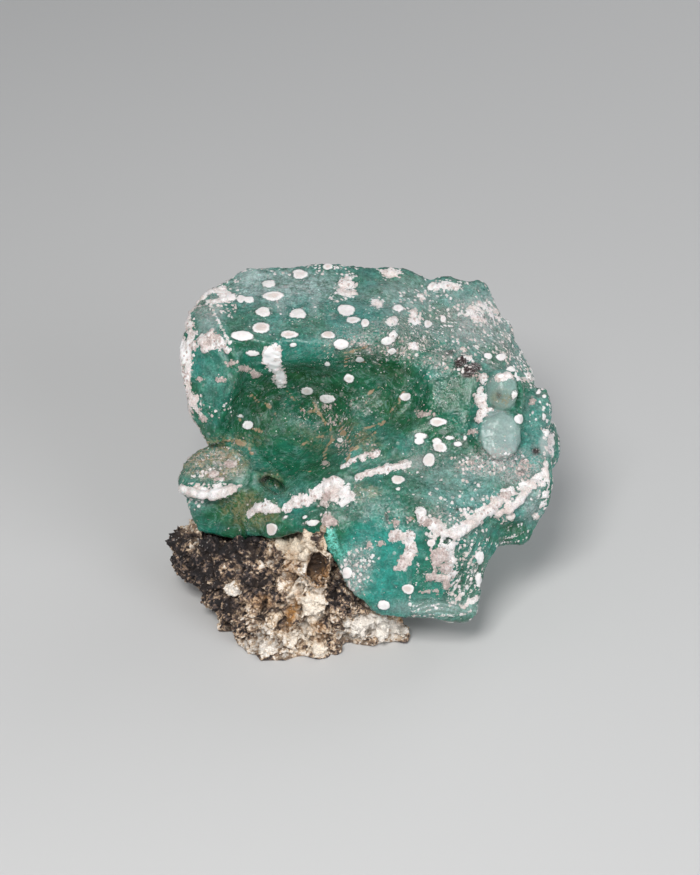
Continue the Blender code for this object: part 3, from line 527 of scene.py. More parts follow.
def refine_seen(mesh):
    """Splits each face that the camera sees into four."""
    bm = bmesh.new()
    bm.from_mesh(mesh)
    tree = BVHTree.FromBMesh(bm)
    edges = set()
    for face in bm.faces:
        centre = face.calc_center_median()
        way = EYE - centre
        way.normalize()
        if way.dot(face.normal) <= SEEN_SLOPE:
            continue
        if tree.ray_cast(centre + way * 0.4 * MM, way)[0] is None:
            edges.update(face.edges)
    bmesh.ops.subdivide_edges(bm, edges=list(edges), cuts=1, use_grid_fill=True)
    bm.to_mesh(mesh)
    bm.free()


class Surface:
    """The points and normals of a fine mesh, with what is needed to mark and move them."""

    def __init__(self, obj):
        self.obj = obj
        mesh = obj.data
        self.count = len(mesh.vertices)
        self.places = np.empty(self.count * 3)
        mesh.vertices.foreach_get("co", self.places)
        self.places = self.places.reshape(-1, 3)
        self.start = self.places.copy()
        self.read_normals()
        self.tree = BVHTree.FromPolygons(
            [vert.co for vert in mesh.vertices], [face.vertices for face in mesh.polygons]
        )
        self.near = kdtree.KDTree(self.count)
        for index, place in enumerate(self.places):
            self.near.insert(place, index)
        self.near.balance()
        self.u, self.v = pixels(self.places)
        self.facing = -(self.normals @ np.array(FORWARD))

    def read_normals(self):
        self.normals = np.empty(self.count * 3)
        self.obj.data.vertex_normals.foreach_get("vector", self.normals)
        self.normals = self.normals.reshape(-1, 3)

    def anchor(self, u, v):
        """The place on the surface that the camera sees at a pixel, or None."""
        return self.tree.ray_cast(EYE, ray(u, v))[0]

    def anchored(self, marks):
        """Each mark that starts with a pixel where the camera sees the surface, and its place."""
        for mark in marks:
            place = self.anchor(*mark[:2])
            if place is not None:
                yield place, mark

    def around(self, place, reach_mm, turned=-2.0):
        """The vertices near a place that face the camera by more than turned."""
        chosen = np.array([hit[1] for hit in self.near.find_range(place, reach_mm * MM)], int)
        return chosen[self.facing[chosen] > turned]

    def away(self, chosen, place):
        """Distances in millimetres from a place to where vertices were at first."""
        return np.linalg.norm(self.start[chosen] - np.array(place), axis=1) / MM

    def ellipse(self, chosen, u, v, width, height, turn=0.0):
        """Where vertices are across and along an ellipse in the picture, 1 at its edge."""
        du, dv = self.u[chosen] - u, self.v[chosen] - v
        c, s = math.cos(math.radians(turn)), math.sin(math.radians(turn))
        return (du * c - dv * s) / (width / 2), (du * s + dv * c) / (height / 2)

    def sample(self, function):
        """function(place in millimetres) at each vertex."""
        return np.array([function(Vector(place)) for place in self.places / MM])

    def push(self, distances_mm):
        """Moves each vertex along its normal, and keeps the feet on the ground."""
        self.places += self.normals * (np.asarray(distances_mm) * MM)[:, None]
        self.places[:, 2] = np.maximum(self.places[:, 2], 0)
        self.obj.data.vertices.foreach_set("co", self.places.ravel())
        self.obj.data.update()
        self.read_normals()

    def store(self, name, values):
        layer = self.obj.data.attributes.new(name, "FLOAT", "POINT")
        layer.data.foreach_set("value", np.asarray(values, np.float32))

    def store_zones(self, names):
        for name in names:
            self.store(name, mark_zone(self, name))


def lobed(angle, shape):
    """How far the outline of a mark goes at an angle, around 1."""
    (a, b, c), (p, q, r) = shape
    wave = a * np.cos(2 * angle + p) + b * np.cos(3 * angle + q) + c * np.cos(4 * angle + r)
    return 1 + wave


def random_shape(rng, rough):
    sizes = [rng.uniform(0, rough), rng.uniform(0, rough * 0.7), rng.uniform(0, rough * 0.3)]
    return sizes, [rng.uniform(0, 2 * math.pi) for _ in range(3)]


def merge(field, tone, chosen, distances, value):
    """Keeps the smaller distance, and the tone that goes with it."""
    closer = chosen[distances < field[chosen]]
    field[closer] = distances[distances < field[chosen]]
    tone[closer] = value


def mark_spots(surface, spots, rng, rough=0.12):
    """Distance in millimetres to the edge of the nearest spot, negative inside, and its tone."""
    field = np.full(surface.count, FAR)
    tone = np.zeros(surface.count)
    for place, (u, v, width, height) in surface.anchored(spots):
        big, small = max(width, height) / 2, min(width, height) / 2
        chosen = surface.around(place, big * MM_PER_PX * 1.5 + 1.6, SPOT_SLOPE)
        across, along = surface.ellipse(chosen, u, v, width, height)
        shape = random_shape(rng, rough)
        reach = np.hypot(across, along) / lobed(np.arctan2(along, across), shape)
        merge(field, tone, chosen, (reach - 1) * small * MM_PER_PX, rng.random())
    return field, tone


def mark_lumps(surface, lumps, wander):
    """Heights of uneven lumps, distance to the edge of the nearest one, and its warmth."""
    height = np.zeros(surface.count)
    field = np.full(surface.count, FAR)
    warmth = np.zeros(surface.count)
    for place, (_, _, size, rise, warm) in surface.anchored(lumps):
        radius = size / 2 * MM_PER_PX
        chosen = surface.around(place, radius + 1.2)
        reach = surface.away(chosen, place) / radius
        reach *= 1.12 + 0.50 * wander[chosen]
        height[chosen] = np.maximum(height[chosen], rise * np.clip(1 - reach**2, 0, 1) ** 0.8)
        merge(field, warmth, chosen, (reach - 1) * radius, warm)
    return height, field, warmth


def swell(surface, swellings):
    """Heights of slightly uneven round swellings."""
    height = np.zeros(surface.count)
    for place, (u, v, width, tall, rise) in surface.anchored(swellings):
        chosen = surface.around(place, max(width, tall) * MM_PER_PX, 0.0)
        across, along = surface.ellipse(chosen, u, v, width, tall)
        uneven = np.array([noise.noise(Vector(start) / 1.3) for start in surface.start[chosen] / MM])
        reach = (across**2 + along**2) * (1 + 0.5 * uneven)
        dome = rise * np.sqrt(np.clip(1 - reach, 0, 1))
        height[chosen] = np.maximum(height[chosen], dome)
    return height


def mark_lines(surface, lines):
    """Distance in millimetres to lines drawn through pixels, each with its width in pixels."""
    field = np.full(surface.count, FAR)
    for width, *numbers in lines:
        points = list(zip(numbers[::2], numbers[1::2]))
        half = width / 2 * MM_PER_PX
        for (u0, v0), (u1, v1) in zip(points, points[1:]):
            steps = max(1, int(math.hypot(u1 - u0, v1 - v0) / 3))
            shares = [count / steps for count in range(steps + 1)]
            path = [(u0 + (u1 - u0) * t, v0 + (v1 - v0) * t) for t in shares]
            for place, _ in surface.anchored(path):
                chosen = surface.around(place, half + 1.5)
                field[chosen] = np.minimum(field[chosen], surface.away(chosen, place) - half)
    return field


def mark_patches(surface, patches, blur_px, turned=-0.1):
    """Soft masks: ellipses in the picture, on the surface that isn't turned away any further."""
    mask = np.zeros(surface.count)
    for place, (u, v, width, height, strength, *turn) in surface.anchored(patches):
        reach = (max(width, height) / 2 + blur_px) * MM_PER_PX * 1.9 + 2
        chosen = surface.around(place, reach, turned)
        across, along = surface.ellipse(chosen, u, v, width, height, *turn)
        inside = (1 - np.hypot(across, along)) * min(width, height) / 2 / blur_px
        value = strength * np.clip(inside + 0.5, 0, 1)
        value *= step(turned, turned + 0.3, surface.facing[chosen])
        mask[chosen] = np.maximum(mask[chosen], value)
    return mask


def mark_zone(surface, name):
    blur_px, patches = ZONES[name]
    return mark_patches(surface, patches, blur_px)


def random_marks(surface, count, sizes, rng, rough, allowed):
    """Spots at random allowed vertices: distance to the nearest edge, and its tone."""
    field = np.full(surface.count, FAR)
    tone = np.zeros(surface.count)
    made = 0
    while made < count:
        index = rng.randrange(surface.count)
        if not allowed[index]:
            continue
        made += 1
        radius = sizes[0] + (sizes[1] - sizes[0]) * rng.random() ** 1.8
        squeeze = rng.uniform(0.65, 1.0)
        place, normal = surface.places[index], surface.normals[index]
        side = Vector(normal).orthogonal().normalized()
        side.rotate(Vector(normal).to_track_quat("Z", "Y"))
        side = np.array(side)
        side -= normal * (side @ normal)
        side /= np.linalg.norm(side)
        other = np.cross(normal, side)
        chosen = surface.around(place, radius * 1.5 + 1.5)
        away = (surface.places[chosen] - place) / MM
        across, along = away @ side / radius, away @ other / (radius * squeeze)
        deep = np.abs(away @ normal) / radius * 0.5
        reach = np.sqrt(across**2 + along**2 + deep**2)
        reach /= lobed(np.arctan2(along, across), random_shape(rng, rough))
        merge(field, tone, chosen, (reach - 1) * radius * squeeze, rng.random())
    return field, tone


def step(edge0, edge1, values):
    t = np.clip((values - edge0) / (edge1 - edge0), 0, 1)
    return t * t * (3 - 2 * t)


def seeded(place, size, seed):
    """A place in units of a size, in a part of space of its own for each seed."""
    return place / size + Vector((seed, seed * 2, seed * 3))


def cells(place, size, seed):
    """Distances to the nearest two points of a random set with that spacing."""
    return noise.voronoi(seeded(place, size, seed))[0][:2]


def hidden_from_camera(surface):
    hidden = np.ones(surface.count, bool)
    for index, place in enumerate(surface.places):
        way = Vector(place) - EYE
        reach = surface.tree.ray_cast(EYE, way)[3]
        if reach is not None and reach > way.length - 0.6 * MM:
            hidden[index] = False
    return hidden


def relief_of_mass(surface, hidden):
    """Waves, small pits, and the creases, swellings and edges drawn in the picture."""

    def waves(place):
        fine = noise.fractal(place / 1.1, 0.8, 2.1, 3) * 0.075
        return noise.fractal(place / 3.8, 0.9, 2.1, 2) * 0.19 + fine

    shape = surface.sample(waves)
    grit = surface.sample(lambda place: noise.fractal(place / 0.55, 0.9, 2.1, 2))
    shape += grit * (0.028 + 0.06 * mark_zone(surface, "grit"))
    pits = surface.sample(lambda place: cells(place, 1.5, 2.0)[0])
    shape -= 0.16 * step(0.22, 0.08, pits)
    near, following = surface.sample(lambda place: cells(place, 5.5, 3.0)).T
    shape += np.where(hidden, 1.0, 0.35) * (np.minimum(following - near, 0.3) - 0.15) * 1.2
    shape *= 1 - 0.8 * mark_zone(surface, "smooth")
    for height, width, *points in EDGES:
        half = width / 2 * MM_PER_PX
        shape += height * step(1.6, 0.0, mark_lines(surface, [(0, *points)]) / half)
    surface.push(shape + swell(surface, SWELLINGS))


def mark_striations(surface):
    """Thin layers that show on the right side of the block and on its lip."""
    side = mark_patches(surface, SIDE_LAYERS, 5)
    lip = mark_patches(surface, LIP_LAYERS, 4)
    wander = surface.sample(lambda place: noise.noise(place / 2.2))
    slant = (surface.u * 0.88 + surface.v * 0.47) / 2.6 + wander
    arch = surface.v - ((surface.u - 440) / 9) ** 2
    return side * np.sin(slant * math.pi), lip * np.sin((arch / 2.2 + wander * 0.5) * math.pi)


def dress_mass():
    """The green mass: fine relief, raised spots and crusts, and the masks of its colours, some of
    them partly painted shade and sheen.
    """
    rng = random.Random(11)
    surface = Surface(fine_copy("melanterite", "melanterite_crystal", MASS_FACES))
    hidden = hidden_from_camera(surface)
    relief_of_mass(surface, hidden)

    spots, spot_tone = mark_spots(surface, SPOTS, rng)
    pink, pink_tone = mark_spots(surface, PINK_SPOTS, rng, 0.16)
    allowed = hidden & (surface.places[:, 2] > HIDDEN_FROM)
    others, other_tone = random_marks(surface, HIDDEN_SPOTS, HIDDEN_RADII, rng, 0.12, allowed)
    white = np.minimum(spots, others)
    tone = np.where(pink < white, pink_tone, np.where(spots < others, spot_tone, other_tone))

    wander = surface.sample(
        lambda place: noise.fractal(place / 1.5, 0.8, 2.0, 3) + 0.5 * noise.noise(place / 0.6)
    )
    drift = surface.sample(lambda place: noise.fractal(place / 6.0, 0.8, 2.0, 3))
    wide = mark_lines(surface, [line for line in CRUST_LINES if line[0] >= WIDE_LINE])
    thin = mark_lines(surface, [line for line in CRUST_LINES if line[0] < WIDE_LINE])
    lines = np.minimum(wide + wander * 0.26 + 0.05, thin + wander * 0.14 - 0.02)
    patches = mark_patches(surface, CRUST_PATCHES, 4) * np.clip(0.95 + wander * 1.1, 0.2, 1.4)
    far_crust = step(0.30, 0.72, drift + 0.25 * wander) * hidden
    far_crust *= step(0.10, -0.15, surface.facing)
    rims = mark_patches(surface, RIMS, 8, -0.7)
    rims *= step(0.56, 0.32, surface.facing) * step(-0.65, -0.35, surface.facing)
    rims *= np.clip(0.9 + wander * 0.6, 0.1, 1.3)
    lump_height, lump_edge, warmth = mark_lumps(surface, LUMPS, wander)
    on_lump = step(0.16, -0.16, lump_edge + wander * 0.10)
    crust = np.maximum.reduce([patches, step(0.20, -0.12, lines), far_crust, rims, on_lump * 1.1])
    hole = mark_patches(surface, RIM_HOLE, 1.5)
    crust *= 1 - hole
    side, lip = mark_striations(surface)
    crust = np.maximum(crust, step(0.30, 0.80, side) * step(-0.5, 0.2, wander) * 0.85)
    crust = np.maximum(crust, step(0.45, 0.90, lip) * 0.85 * step(-0.8, 0.2, wander))

    grains = surface.sample(lambda place: 0.5 - cells(place, 0.8, 5.0)[0])
    raised = 0.10 * step(0.08, -0.16, white) + 0.08 * step(0.12, -0.25, pink)
    smooth = step(SOLID, 1.5, crust)
    raised += np.clip(crust, 0, 1) * (0.06 + 0.42 * grains * (1 - smooth)) + lump_height * 0.75
    raised += 0.12 * side + 0.12 * lip - 0.7 * hole
    surface.push(raised)

    blush = np.maximum(step(0.28, -0.35, pink + wander * 0.15), on_lump * warmth)
    cover = mark_patches(surface, BLUSH, 3) * np.clip(0.9 + wander * 0.8, 0.1, 1.3)
    surface.store("white", white)
    surface.store("tone", tone)
    surface.store("pink", np.maximum(blush, cover))
    surface.store("crust", crust)
    surface.store("lip", np.clip(-lip, 0, 1) + 0.8 * np.clip(-side, 0, 1))
    surface.store("hidden", hidden)
    # up-facing surfaces: partly real frost, partly a painted sheen from above
    surface.store("top_frost_and_sheen", step(0.2, 0.95, surface.normals[:, 2]))
    surface.store("tan", mark_lines(surface, TAN_LINES) + wander * 0.34 + 0.05)
    surface.store_zones(MASS_ZONES)
    return surface.obj


def crumb_tones(surface, size, seed):
    """A random number for the crumb that each vertex belongs to."""

    def tone(place):
        centre = noise.voronoi(seeded(place, size, seed))[1][0]
        return noise.cell(centre * 7.3) * 0.5 + 0.5

    return surface.sample(tone)


def dress_rock():
    """The host rock: crumbs, pits, the masks of its colours, and masks of painted shade."""
    surface = Surface(fine_copy("host_rock", "host_rock_crumbs", ROCK_FACES))
    # without a seed the offsets of noise_vector would come from the clock
    noise.seed_set(WARP_SEED)
    warp = surface.sample(lambda place: noise.noise_vector(place / 1.6) * 0.35)
    plain = surface.places.copy()
    surface.places = plain + warp * MM
    sizes = [surface.sample(lambda place: cells(place, size, seed)).T for size, seed, _ in CRUMBS]
    (coarse, _), (middle, following), (fine, _) = sizes
    holes = surface.sample(lambda place: noise.fractal(place / 1.7, 0.75, 2.0, 4))
    tones = sum(crumb_tones(surface, size, seed) * share for size, seed, share in CRUMBS)
    peak = surface.away(np.arange(surface.count), surface.anchor(*PEAK))
    lift = step(PEAK_REACH, 0.8, peak)[:, None] * np.array((0.0, -0.35, 1.0)) * PEAK_LIFT * MM
    surface.places = plain + lift
    wander = surface.sample(lambda place: noise.fractal(place / 1.5, 0.8, 2.0, 3))
    chunk_height, chunk_edge, chunk_tone = mark_lumps(surface, ROCK_LUMPS, wander)
    on_chunk = step(0.3, -0.5, chunk_edge)
    seam = step(0.38, 0.06, np.abs(chunk_edge))
    tones += on_chunk * (chunk_tone - 0.5) * 0.75 - seam * 0.30

    shape = 0.9 * (0.40 - coarse) + chunk_height * 1.1 - 0.25 - 0.4 * seam
    shape += 0.75 * (0.40 - middle) + 0.8 * (np.minimum(following - middle, 0.14) - 0.10)
    shape += 0.75 * (0.38 - fine)
    shape -= 0.8 * step(-0.18, -0.50, holes)
    cavity = mark_patches(surface, ROCK_CAVITY, 4)
    shape -= 1.1 * cavity + 0.9 * step(0.5, -0.2, mark_lines(surface, ROCK_CREVICE))
    foot = step(0.0002, 0.0015, surface.places[:, 2])
    surface.push(np.clip(shape, -2.4, 1.0) * foot)

    # painted shade in the low places and the cavity, less on the cream crumbs
    deep = np.maximum(step(-0.25, -1.2, shape), cavity * np.clip(0.9 - on_chunk, 0, 1))
    surface.store("tone", tones)
    surface.store("pit_shade", deep * (1 - 0.65 * np.clip(mark_zone(surface, "cream"), 0, 1)))
    surface.store_zones(ROCK_ZONES)
    return surface.obj


class Value:
    """A number that comes from a node, for sums written with signs."""

    def __init__(self, paint, socket):
        self.paint, self.socket = paint, socket

    def __add__(self, other):
        return self.paint.math("ADD", self, other)

    def __sub__(self, other):
        return self.paint.math("SUBTRACT", self, other)

    def __rsub__(self, other):
        return self.paint.math("SUBTRACT", other, self)

    def __mul__(self, other):
        return self.paint.math("MULTIPLY", self, other)


class Paint:
    """Short names for the nodes of a material."""

    def __init__(self, name):
        self.material = bpy.data.materials.new(name)
        self.material.use_nodes = True
        self.tree = self.material.node_tree
        self.shader = self.tree.nodes["Principled BSDF"]
        self.place = self.tree.nodes.new("ShaderNodeTexCoord").outputs["Object"]

    def set(self, node, key, value):
        socket = node.inputs[key]
        if isinstance(value, Value):
            value = value.socket
        if isinstance(value, bpy.types.NodeSocket):
            self.tree.links.new(value, socket)
        elif isinstance(value, tuple) and socket.type == "RGBA":
            socket.default_value = (*value, 1)
        else:
            socket.default_value = value

    def node(self, kind, settings, inputs):
        """A new node with its settings and inputs."""
        node = self.tree.nodes.new(kind)
        for key, value in settings.items():
            setattr(node, key, value)
        for key, value in inputs.items():
            self.set(node, key, value)
        return node

    def mask(self, name):
        node = self.node("ShaderNodeAttribute", {"attribute_name": name}, {})
        return Value(self, node.outputs["Fac"])

    def math(self, operation, a, b=0.0):
        node = self.node("ShaderNodeMath", {"operation": operation}, {0: a, 1: b})
        return Value(self, node.outputs[0])

    def most(self, a, b):
        return self.math("MAXIMUM", a, b)

    def grade(self, value, low, high, to_low=0.0, to_high=1.0):
        keys = ("Value", "From Min", "From Max", "To Min", "To Max")
        inputs = dict(zip(keys, (value, low, high, to_low, to_high)))
        node = self.node("ShaderNodeMapRange", {"interpolation_type": "SMOOTHSTEP"}, inputs)
        return Value(self, node.outputs[0])

    def moved(self, x, y, z):
        """The place, moved so that a pattern doesn't repeat one at the same place."""
        node = self.node("ShaderNodeVectorMath", {"operation": "ADD"}, {0: self.place, 1: (x, y, z)})
        return node.outputs[0]

    def noise(self, size_mm, detail, rough, shift=0.0, warp=0.0):
        node = self.node("ShaderNodeTexNoise", {}, {
            "Vector": self.moved(shift, shift * 0.7, -shift), "Scale": 1000.0 / size_mm,
            "Detail": detail, "Roughness": rough, "Distortion": warp,
        })
        return Value(self, node.outputs["Fac"])

    def grains(self, size_mm, shift=0.0):
        """Distance to the middle of the nearest grain in its own size, and the grain's number."""
        place = self.moved(shift, -shift, shift * 0.5)
        node = self.node("ShaderNodeTexVoronoi", {}, {"Vector": place, "Scale": 1000.0 / size_mm})
        split = self.node("ShaderNodeSeparateColor", {}, {"Color": node.outputs["Color"]})
        return Value(self, node.outputs["Distance"]), Value(self, split.outputs[0])

    def scale(self, colour, factor):
        inputs = {0: colour, "Scale": factor}
        return self.node("ShaderNodeVectorMath", {"operation": "SCALE"}, inputs).outputs[0]

    def mix(self, factor, a, b):
        inputs = {0: factor, 6: a, 7: b}
        return self.node("ShaderNodeMix", {"data_type": "RGBA"}, inputs).outputs[2]

    def ramp(self, value, stops):
        node = self.node("ShaderNodeValToRGB", {}, {"Fac": value})
        elements = node.color_ramp.elements
        while len(elements) < len(stops):
            elements.new(0.5)
        for element, (position, colour) in zip(elements, stops):
            element.position = position
            element.color = (*colour, 1)
        return node.outputs["Color"]

    def bump(self, height, strength, distance_mm):
        inputs = {"Height": height, "Strength": strength, "Distance": distance_mm * MM}
        return self.node("ShaderNodeBump", {}, inputs).outputs["Normal"]

    def finish(self, colour, roughness, normal):
        self.set(self.shader, "Base Color", colour)
        self.set(self.shader, "Roughness", roughness)
        self.set(self.shader, "Normal", normal)
        return self.material


DEEP_GREEN = (0.009, 0.110, 0.048)
DARKEST_GREEN_AND_SHADE = (0.006, 0.072, 0.018)
MURKY_GREEN = (0.050, 0.115, 0.030)
TEAL = (0.022, 0.205, 0.172)
VIVID_TEAL = (0.026, 0.265, 0.218)
FROST = (0.180, 0.335, 0.310)
GREY_FROST = (0.290, 0.385, 0.375)
OLIVE_TAN = (0.270, 0.225, 0.120)
TURQUOISE = (0.170, 0.600, 0.500)
PALE_GREEN = (0.390, 0.475, 0.465)
GREY_PINK = (0.400, 0.360, 0.350)
BROWN = (0.034, 0.021, 0.021)
ORANGE = (0.360, 0.215, 0.105)
TAN = (0.520, 0.400, 0.280)
WHITE = (0.880, 0.850, 0.845)
PURE_WHITE = (0.950, 0.940, 0.940)
CLOUD = (0.420, 0.430, 0.410)
CREAM = (0.720, 0.620, 0.580)
PINK = (0.470, 0.370, 0.345)
PALE_PINK = (0.680, 0.590, 0.555)
# Colours of the rock, from its darkest crumbs to its palest
ROCK_STOPS = [
    (0.04, (0.014, 0.011, 0.012)), (0.20, (0.075, 0.060, 0.060)), (0.36, (0.215, 0.145, 0.110)),
    (0.52, (0.44, 0.30, 0.19)), (0.68, (0.74, 0.57, 0.41)), (0.92, (0.92, 0.85, 0.77)),
]
HONEY = (0.94, 0.76, 0.54)
SOIL = (0.150, 0.095, 0.070)
RUST = (0.46, 0.22, 0.060)
PIT_SHADE = (0.040, 0.027, 0.022)
SPARKLE = (0.80, 0.78, 0.74)


def add_granules(paint, density, size_mm, shift):
    """Grains of crust: all of the surface where the density is one, scattered where it is less."""
    near, pick = paint.grains(size_mm, shift)
    wobble = paint.noise(0.22, 2, 0.6, shift) * 0.5 - 0.25
    chosen = paint.grade(density - pick, -0.03, 0.05)
    grain = chosen * paint.grade(near + wobble, 0.40, 0.60, 1.0, 0.0)
    return paint.most(grain, paint.grade(density + wobble, 0.72, 0.98))


def paint_mass():
    paint = Paint("melanterite crystal")
    mask, grade, mix, most, scale = paint.mask, paint.grade, paint.mix, paint.most, paint.scale
    cloudy = paint.noise(8, 3, 0.6)
    patchy = paint.noise(2.6, 5, 0.65, 0.31)
    grain = paint.noise(0.55, 3, 0.65, 0.17)
    fine = paint.noise(0.24, 2, 0.6, 0.43)
    gravel = paint.noise(0.36, 3, 0.7, 0.77)
    sugar = paint.noise(0.32, 3, 0.75, 0.37)

    # clear greens, deep in the hollow and vivid on the block; the darkest and some deep greens are
    # painted shade under rims, in creases and on the shaded wall of the hollow
    body = mix(grade(cloudy, 0.34, 0.66), DEEP_GREEN, TEAL)
    body = mix(mask("vivid") * 0.85, body, VIVID_TEAL)
    body = mix(mask("deep") * grade(patchy, 0.25, 0.75, 1.0, 0.65), body, DEEP_GREEN)
    body = mix(mask("murky") * grade(patchy, 0.35, 0.60, 0.25, 0.95), body, MURKY_GREEN)
    body = mix(mask("darkest_and_shade"), body, DARKEST_GREEN_AND_SHADE)

    # a frosted film, and pale veils where there is none
    frost = most(mask("frost"), mask("hidden") * grade(cloudy, 0.40, 0.62, 0.1, 0.8))
    # more frost on up-facing surfaces, partly a painted sheen
    frost = most(frost, mask("top_frost_and_sheen") * (mask("deep") * -0.25 + 0.25))
    film = grade(grade(patchy + grain * 0.8, 0.55, 1.15), 0.0, 1.0, 0.40, 1.15)
    film = paint.math("MINIMUM", frost * film, 1.0)
    body = mix(film, body, mix(mask("greyish"), FROST, GREY_FROST))
    ridge = paint.math("ABSOLUTE", paint.noise(3.4, 4, 0.6, 0.55, 1.4) * 2.0 - 1.0)
    clear = most(1.0 - mask("hidden") - film, 0.0)
    body = mix(grade(ridge, 0.07, 0.0) * (clear * 0.38), body, FROST)
    body = scale(body, grade(paint.noise(1.5, 3, 0.6, 0.66), 0.32, 0.68, 0.74, 1.20))

    # local colours, grit, and mottling that is partly painted sparkle
    body = mix(mask("turquoise") * grade(grain, 0.36, 0.60, 0.1, 1.0), body, TURQUOISE)
    body = mix(mask("pale") * 0.85, body, PALE_GREEN)
    body = mix(mask("olive") * grade(grain + patchy * 0.6, 0.72, 0.90), body, OLIVE_TAN)
    body = mix(mask("grit") * grade(gravel, 0.42, 0.55) * 0.9, body, GREY_PINK)
    plain = 1.0 - mask("pale") * 0.8
    # brightness mottling; its finest part is painted sparkle
    mottle_and_sparkle = grade(grain, 0.25, 0.75, 0.80, 1.20) * grade(sugar, 0.32, 0.68, 0.62, 1.45)
    body = scale(body, (mottle_and_sparkle - 1.0) * (plain * (clear * -0.40 + 1.0)) + 1.0)
    body = mix(mask("lip") * 0.45, body, DEEP_GREEN)
    threads = grade(mask("tan") + (patchy * 1.2 - 0.64), 0.08, -0.10)
    body = mix(threads * 0.85, body, mix(grain, ORANGE, TAN))

    # clouds of fine dust, white, cream, tan and dark flecks, and white dots of painted glints
    zone = most(mask("speckle"), mask("hidden") * grade(patchy, 0.45, 0.65, 0.0, 0.7)) * plain
    cloud = grade(paint.noise(1.3, 5, 0.75, 0.57), 0.52, 0.64)
    body = mix(cloud * (most(zone, mask("greyish")) * 0.62), body, CLOUD)
    crowd = zone * grade(paint.noise(2.8, 3, 0.6, 0.29), 0.40, 0.62, 0.02, 0.125)
    flecks = grade(crowd + paint.noise(0.5, 3, 0.7, 0.91), 0.665, 0.72)
    chip = mix(grade(fine, 0.35, 0.65), CREAM, WHITE)
    chip = mix(grade(patchy, 0.50, 0.62, 0.0, 0.8), chip, TAN)
    body = mix(flecks * 0.9, body, chip)
    specks = grade(zone * 0.10 + paint.noise(0.7, 3, 0.7, 0.13), 0.70, 0.76)
    body = mix(specks * 0.75, body, BROWN)
    # painted glints: tiny white dots
    near, pick = paint.grains(0.5, 0.62)
    painted_glints = grade(near, 0.30, 0.18) * paint.math("LESS_THAN", pick, zone * 0.08 + 0.015)
    body = mix(painted_glints * 0.85, body, WHITE)
    flecks = most(flecks, painted_glints)
    brown = mask("brown") * grade(grain, 0.25, 0.45, 0.75, 1.0)
    body = mix(brown, body, mix(grade(fine, 0.52, 0.72), BROWN, GREY_PINK))

    # a thin painted shadow around each spot, then crust, pinkish cover and the spots themselves
    crust = add_granules(paint, mask("crust"), 0.62, 0.61)
    white = grade(mask("white") + (grain * 0.44 - 0.22), 0.07, -0.07)
    pink = add_granules(paint, mask("pink"), 0.5, 0.83)
    # painted shadow: a thin dark ring just outside each spot
    body = scale(body, 1.0 - grade(mask("white"), 0.30, 0.06) * 0.25)
    solid = grade(mask("crust"), SOLID, 1.6)
    chalk = mix(grade(patchy, 0.38, 0.66), WHITE, CREAM)
    chalk = mix(solid, scale(chalk, grade(fine, 0.25, 0.75, 0.72, 1.08)), PURE_WHITE)
    body = mix(crust, body, chalk)
    blush = mix(grade(gravel, 0.42, 0.68), PINK, CREAM)
    body = mix(pink, body, scale(blush, grade(fine, 0.25, 0.75, 0.75, 1.1)))
    inside = grade(mask("white") + (patchy * 0.9 - 0.45), -0.08, -0.50)
    inside = inside * grade(mask("tone"), 0.10, 0.90)
    disc = mix(inside, WHITE, mix(grade(mask("tone"), 0.45, 0.95), CREAM, PALE_PINK))
    disc = mix(solid, scale(disc, grade(grain, 0.2, 0.8, 0.90, 1.05)), PURE_WHITE)
    body = mix(white, body, disc)

    dry = most(most(crust, white), pink)
    rough = grade(film, 0.0, 0.8, 0.15, 0.45) * (mask("glass") * -0.65 + 1.0)
    rough = most(most(rough, flecks * 0.6), dry * 0.85)
    paint.set(paint.shader, "Subsurface Weight", grade(dry, 0.0, 1.0, 0.5, 0.1))
    paint.set(paint.shader, "Subsurface Radius", (0.35, 1.0, 0.75))
    paint.set(paint.shader, "Subsurface Scale", 0.0015)
    paint.set(paint.shader, "IOR", 1.48)
    height = (grain * 0.8 + fine * 0.5) * grade(film, 0.0, 1.0, 0.55, 1.0)
    height = height + dry * 0.9 + flecks * 0.5 + sugar * 0.5
    height = height + paint.grains(0.42)[0] * (zone * 0.9 + 0.15)
    height = height * (mask("pale") * -0.45 + 1.0)
    return paint.finish(body, rough, paint.bump(height, 0.8, 0.14))


def paint_rock():
    paint = Paint("host rock")
    mask, grade, mix, scale = paint.mask, paint.grade, paint.mix, paint.scale
    blotch = paint.noise(4, 4, 0.6)
    grain = paint.noise(0.6, 4, 0.65, 0.2)
    fine = paint.noise(0.25, 2, 0.6, 0.5)
    near, pick = paint.grains(0.42, 0.3)
    level = mask("tone") + mask("cream") * 0.42 - mask("dark") * 0.38
    level = level + (pick * 0.56 - 0.32) + (blotch * 0.7 - 0.35) + (grain * 0.9 - 0.45)
    body = paint.ramp(level, ROCK_STOPS)
    body = mix(mask("warm") * grade(level, 0.45, 0.85, 0.0, 0.6), body, HONEY)
    body = mix(grade(paint.noise(0.42, 4, 0.75, 0.72), 0.60, 0.70) * 0.6, body, SOIL)
    body = mix(mask("rust") * grade(grain, 0.35, 0.6, 0.2, 0.9), body, RUST)
    # painted shade in the pits
    body = mix(mask("pit_shade") * 0.8, body, PIT_SHADE)
    body = scale(body, grade(fine, 0.2, 0.8, 0.72, 1.2))
    # painted glints on the rock's grains
    sparkle = grade(near, 0.34, 0.16) * paint.math("GREATER_THAN", pick, 0.86)
    body = mix(sparkle * 0.5, body, SPARKLE)
    # painted shade over the left side of the rock and its cavity
    body = scale(body, mask("shade") * -0.72 + 1.0)
    height = grain * 0.8 + fine * 0.5 - near * 0.4
    return paint.finish(body, 0.8, paint.bump(height, 1.0, 0.28))


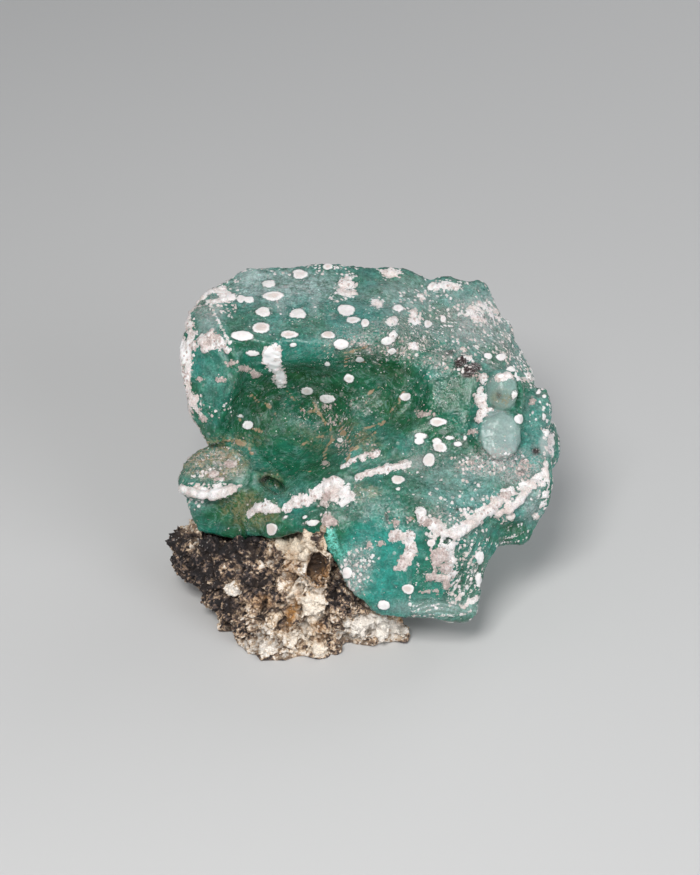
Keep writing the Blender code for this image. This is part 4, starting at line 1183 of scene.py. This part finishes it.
def make_camera():
    data = bpy.data.cameras.new("camera")
    data.lens = LENS
    data.sensor_width = SENSOR
    data.clip_start = 0.01
    camera = bpy.data.objects.new("camera", data)
    camera.location = EYE
    camera.rotation_euler = FORWARD.to_track_quat("-Z", "Y").to_euler()
    bpy.context.scene.collection.objects.link(camera)
    bpy.context.scene.camera = camera


def make_area(name, place, size, power, colour):
    data = bpy.data.lights.new(name, "AREA")
    data.size = size
    data.energy = power
    data.color = colour
    light = bpy.data.objects.new(name, data)
    light.location = place
    light.rotation_euler = (LOOKED_AT - Vector(place)).to_track_quat("-Z", "Y").to_euler()
    bpy.context.scene.collection.objects.link(light)


def make_studio():
    """A plain pale floor and soft light from three sides."""
    mesh = bpy.data.meshes.new("floor")
    half = 1.5
    corners = [(-half, -half, 0), (half, -half, 0), (half, half, 0), (-half, half, 0)]
    mesh.from_pydata(corners, [], [(0, 1, 2, 3)])
    floor = bpy.data.objects.new("floor", mesh)
    bpy.context.scene.collection.objects.link(floor)
    material = bpy.data.materials.new("floor")
    material.use_nodes = True
    shader = material.node_tree.nodes["Principled BSDF"]
    shader.inputs["Base Color"].default_value = (0.58, 0.58, 0.58, 1)
    shader.inputs["Roughness"].default_value = 0.9
    floor.data.materials.append(material)
    make_area("key", (-0.10, -0.30, 0.42), 0.18, 2.0, (1.0, 0.99, 0.97))
    make_area("fill", (0.36, -0.34, 0.22), 0.35, 1.2, (0.97, 0.98, 1.0))
    make_area("back", (0.30, 0.35, 0.30), 0.30, 0.5, (1.0, 1.0, 1.0))
    bpy.context.scene.view_settings.view_transform = "Standard"
    world = bpy.data.worlds.new("studio")
    bpy.context.scene.world = world
    world.use_nodes = True
    background = world.node_tree.nodes["Background"]
    background.inputs["Color"].default_value = (0.85, 0.88, 0.92, 1)
    background.inputs["Strength"].default_value = 0.26


mass = dress_mass()
rock = dress_rock()
for piece, node, material in (
    (mass, "melanterite", paint_mass()),
    (rock, "host_rock", paint_rock()),
):
    piece.data.materials.append(material)
    for face in piece.data.polygons:
        face.use_smooth = True
    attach(piece, "root")
    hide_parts(node)

make_camera()
make_studio()
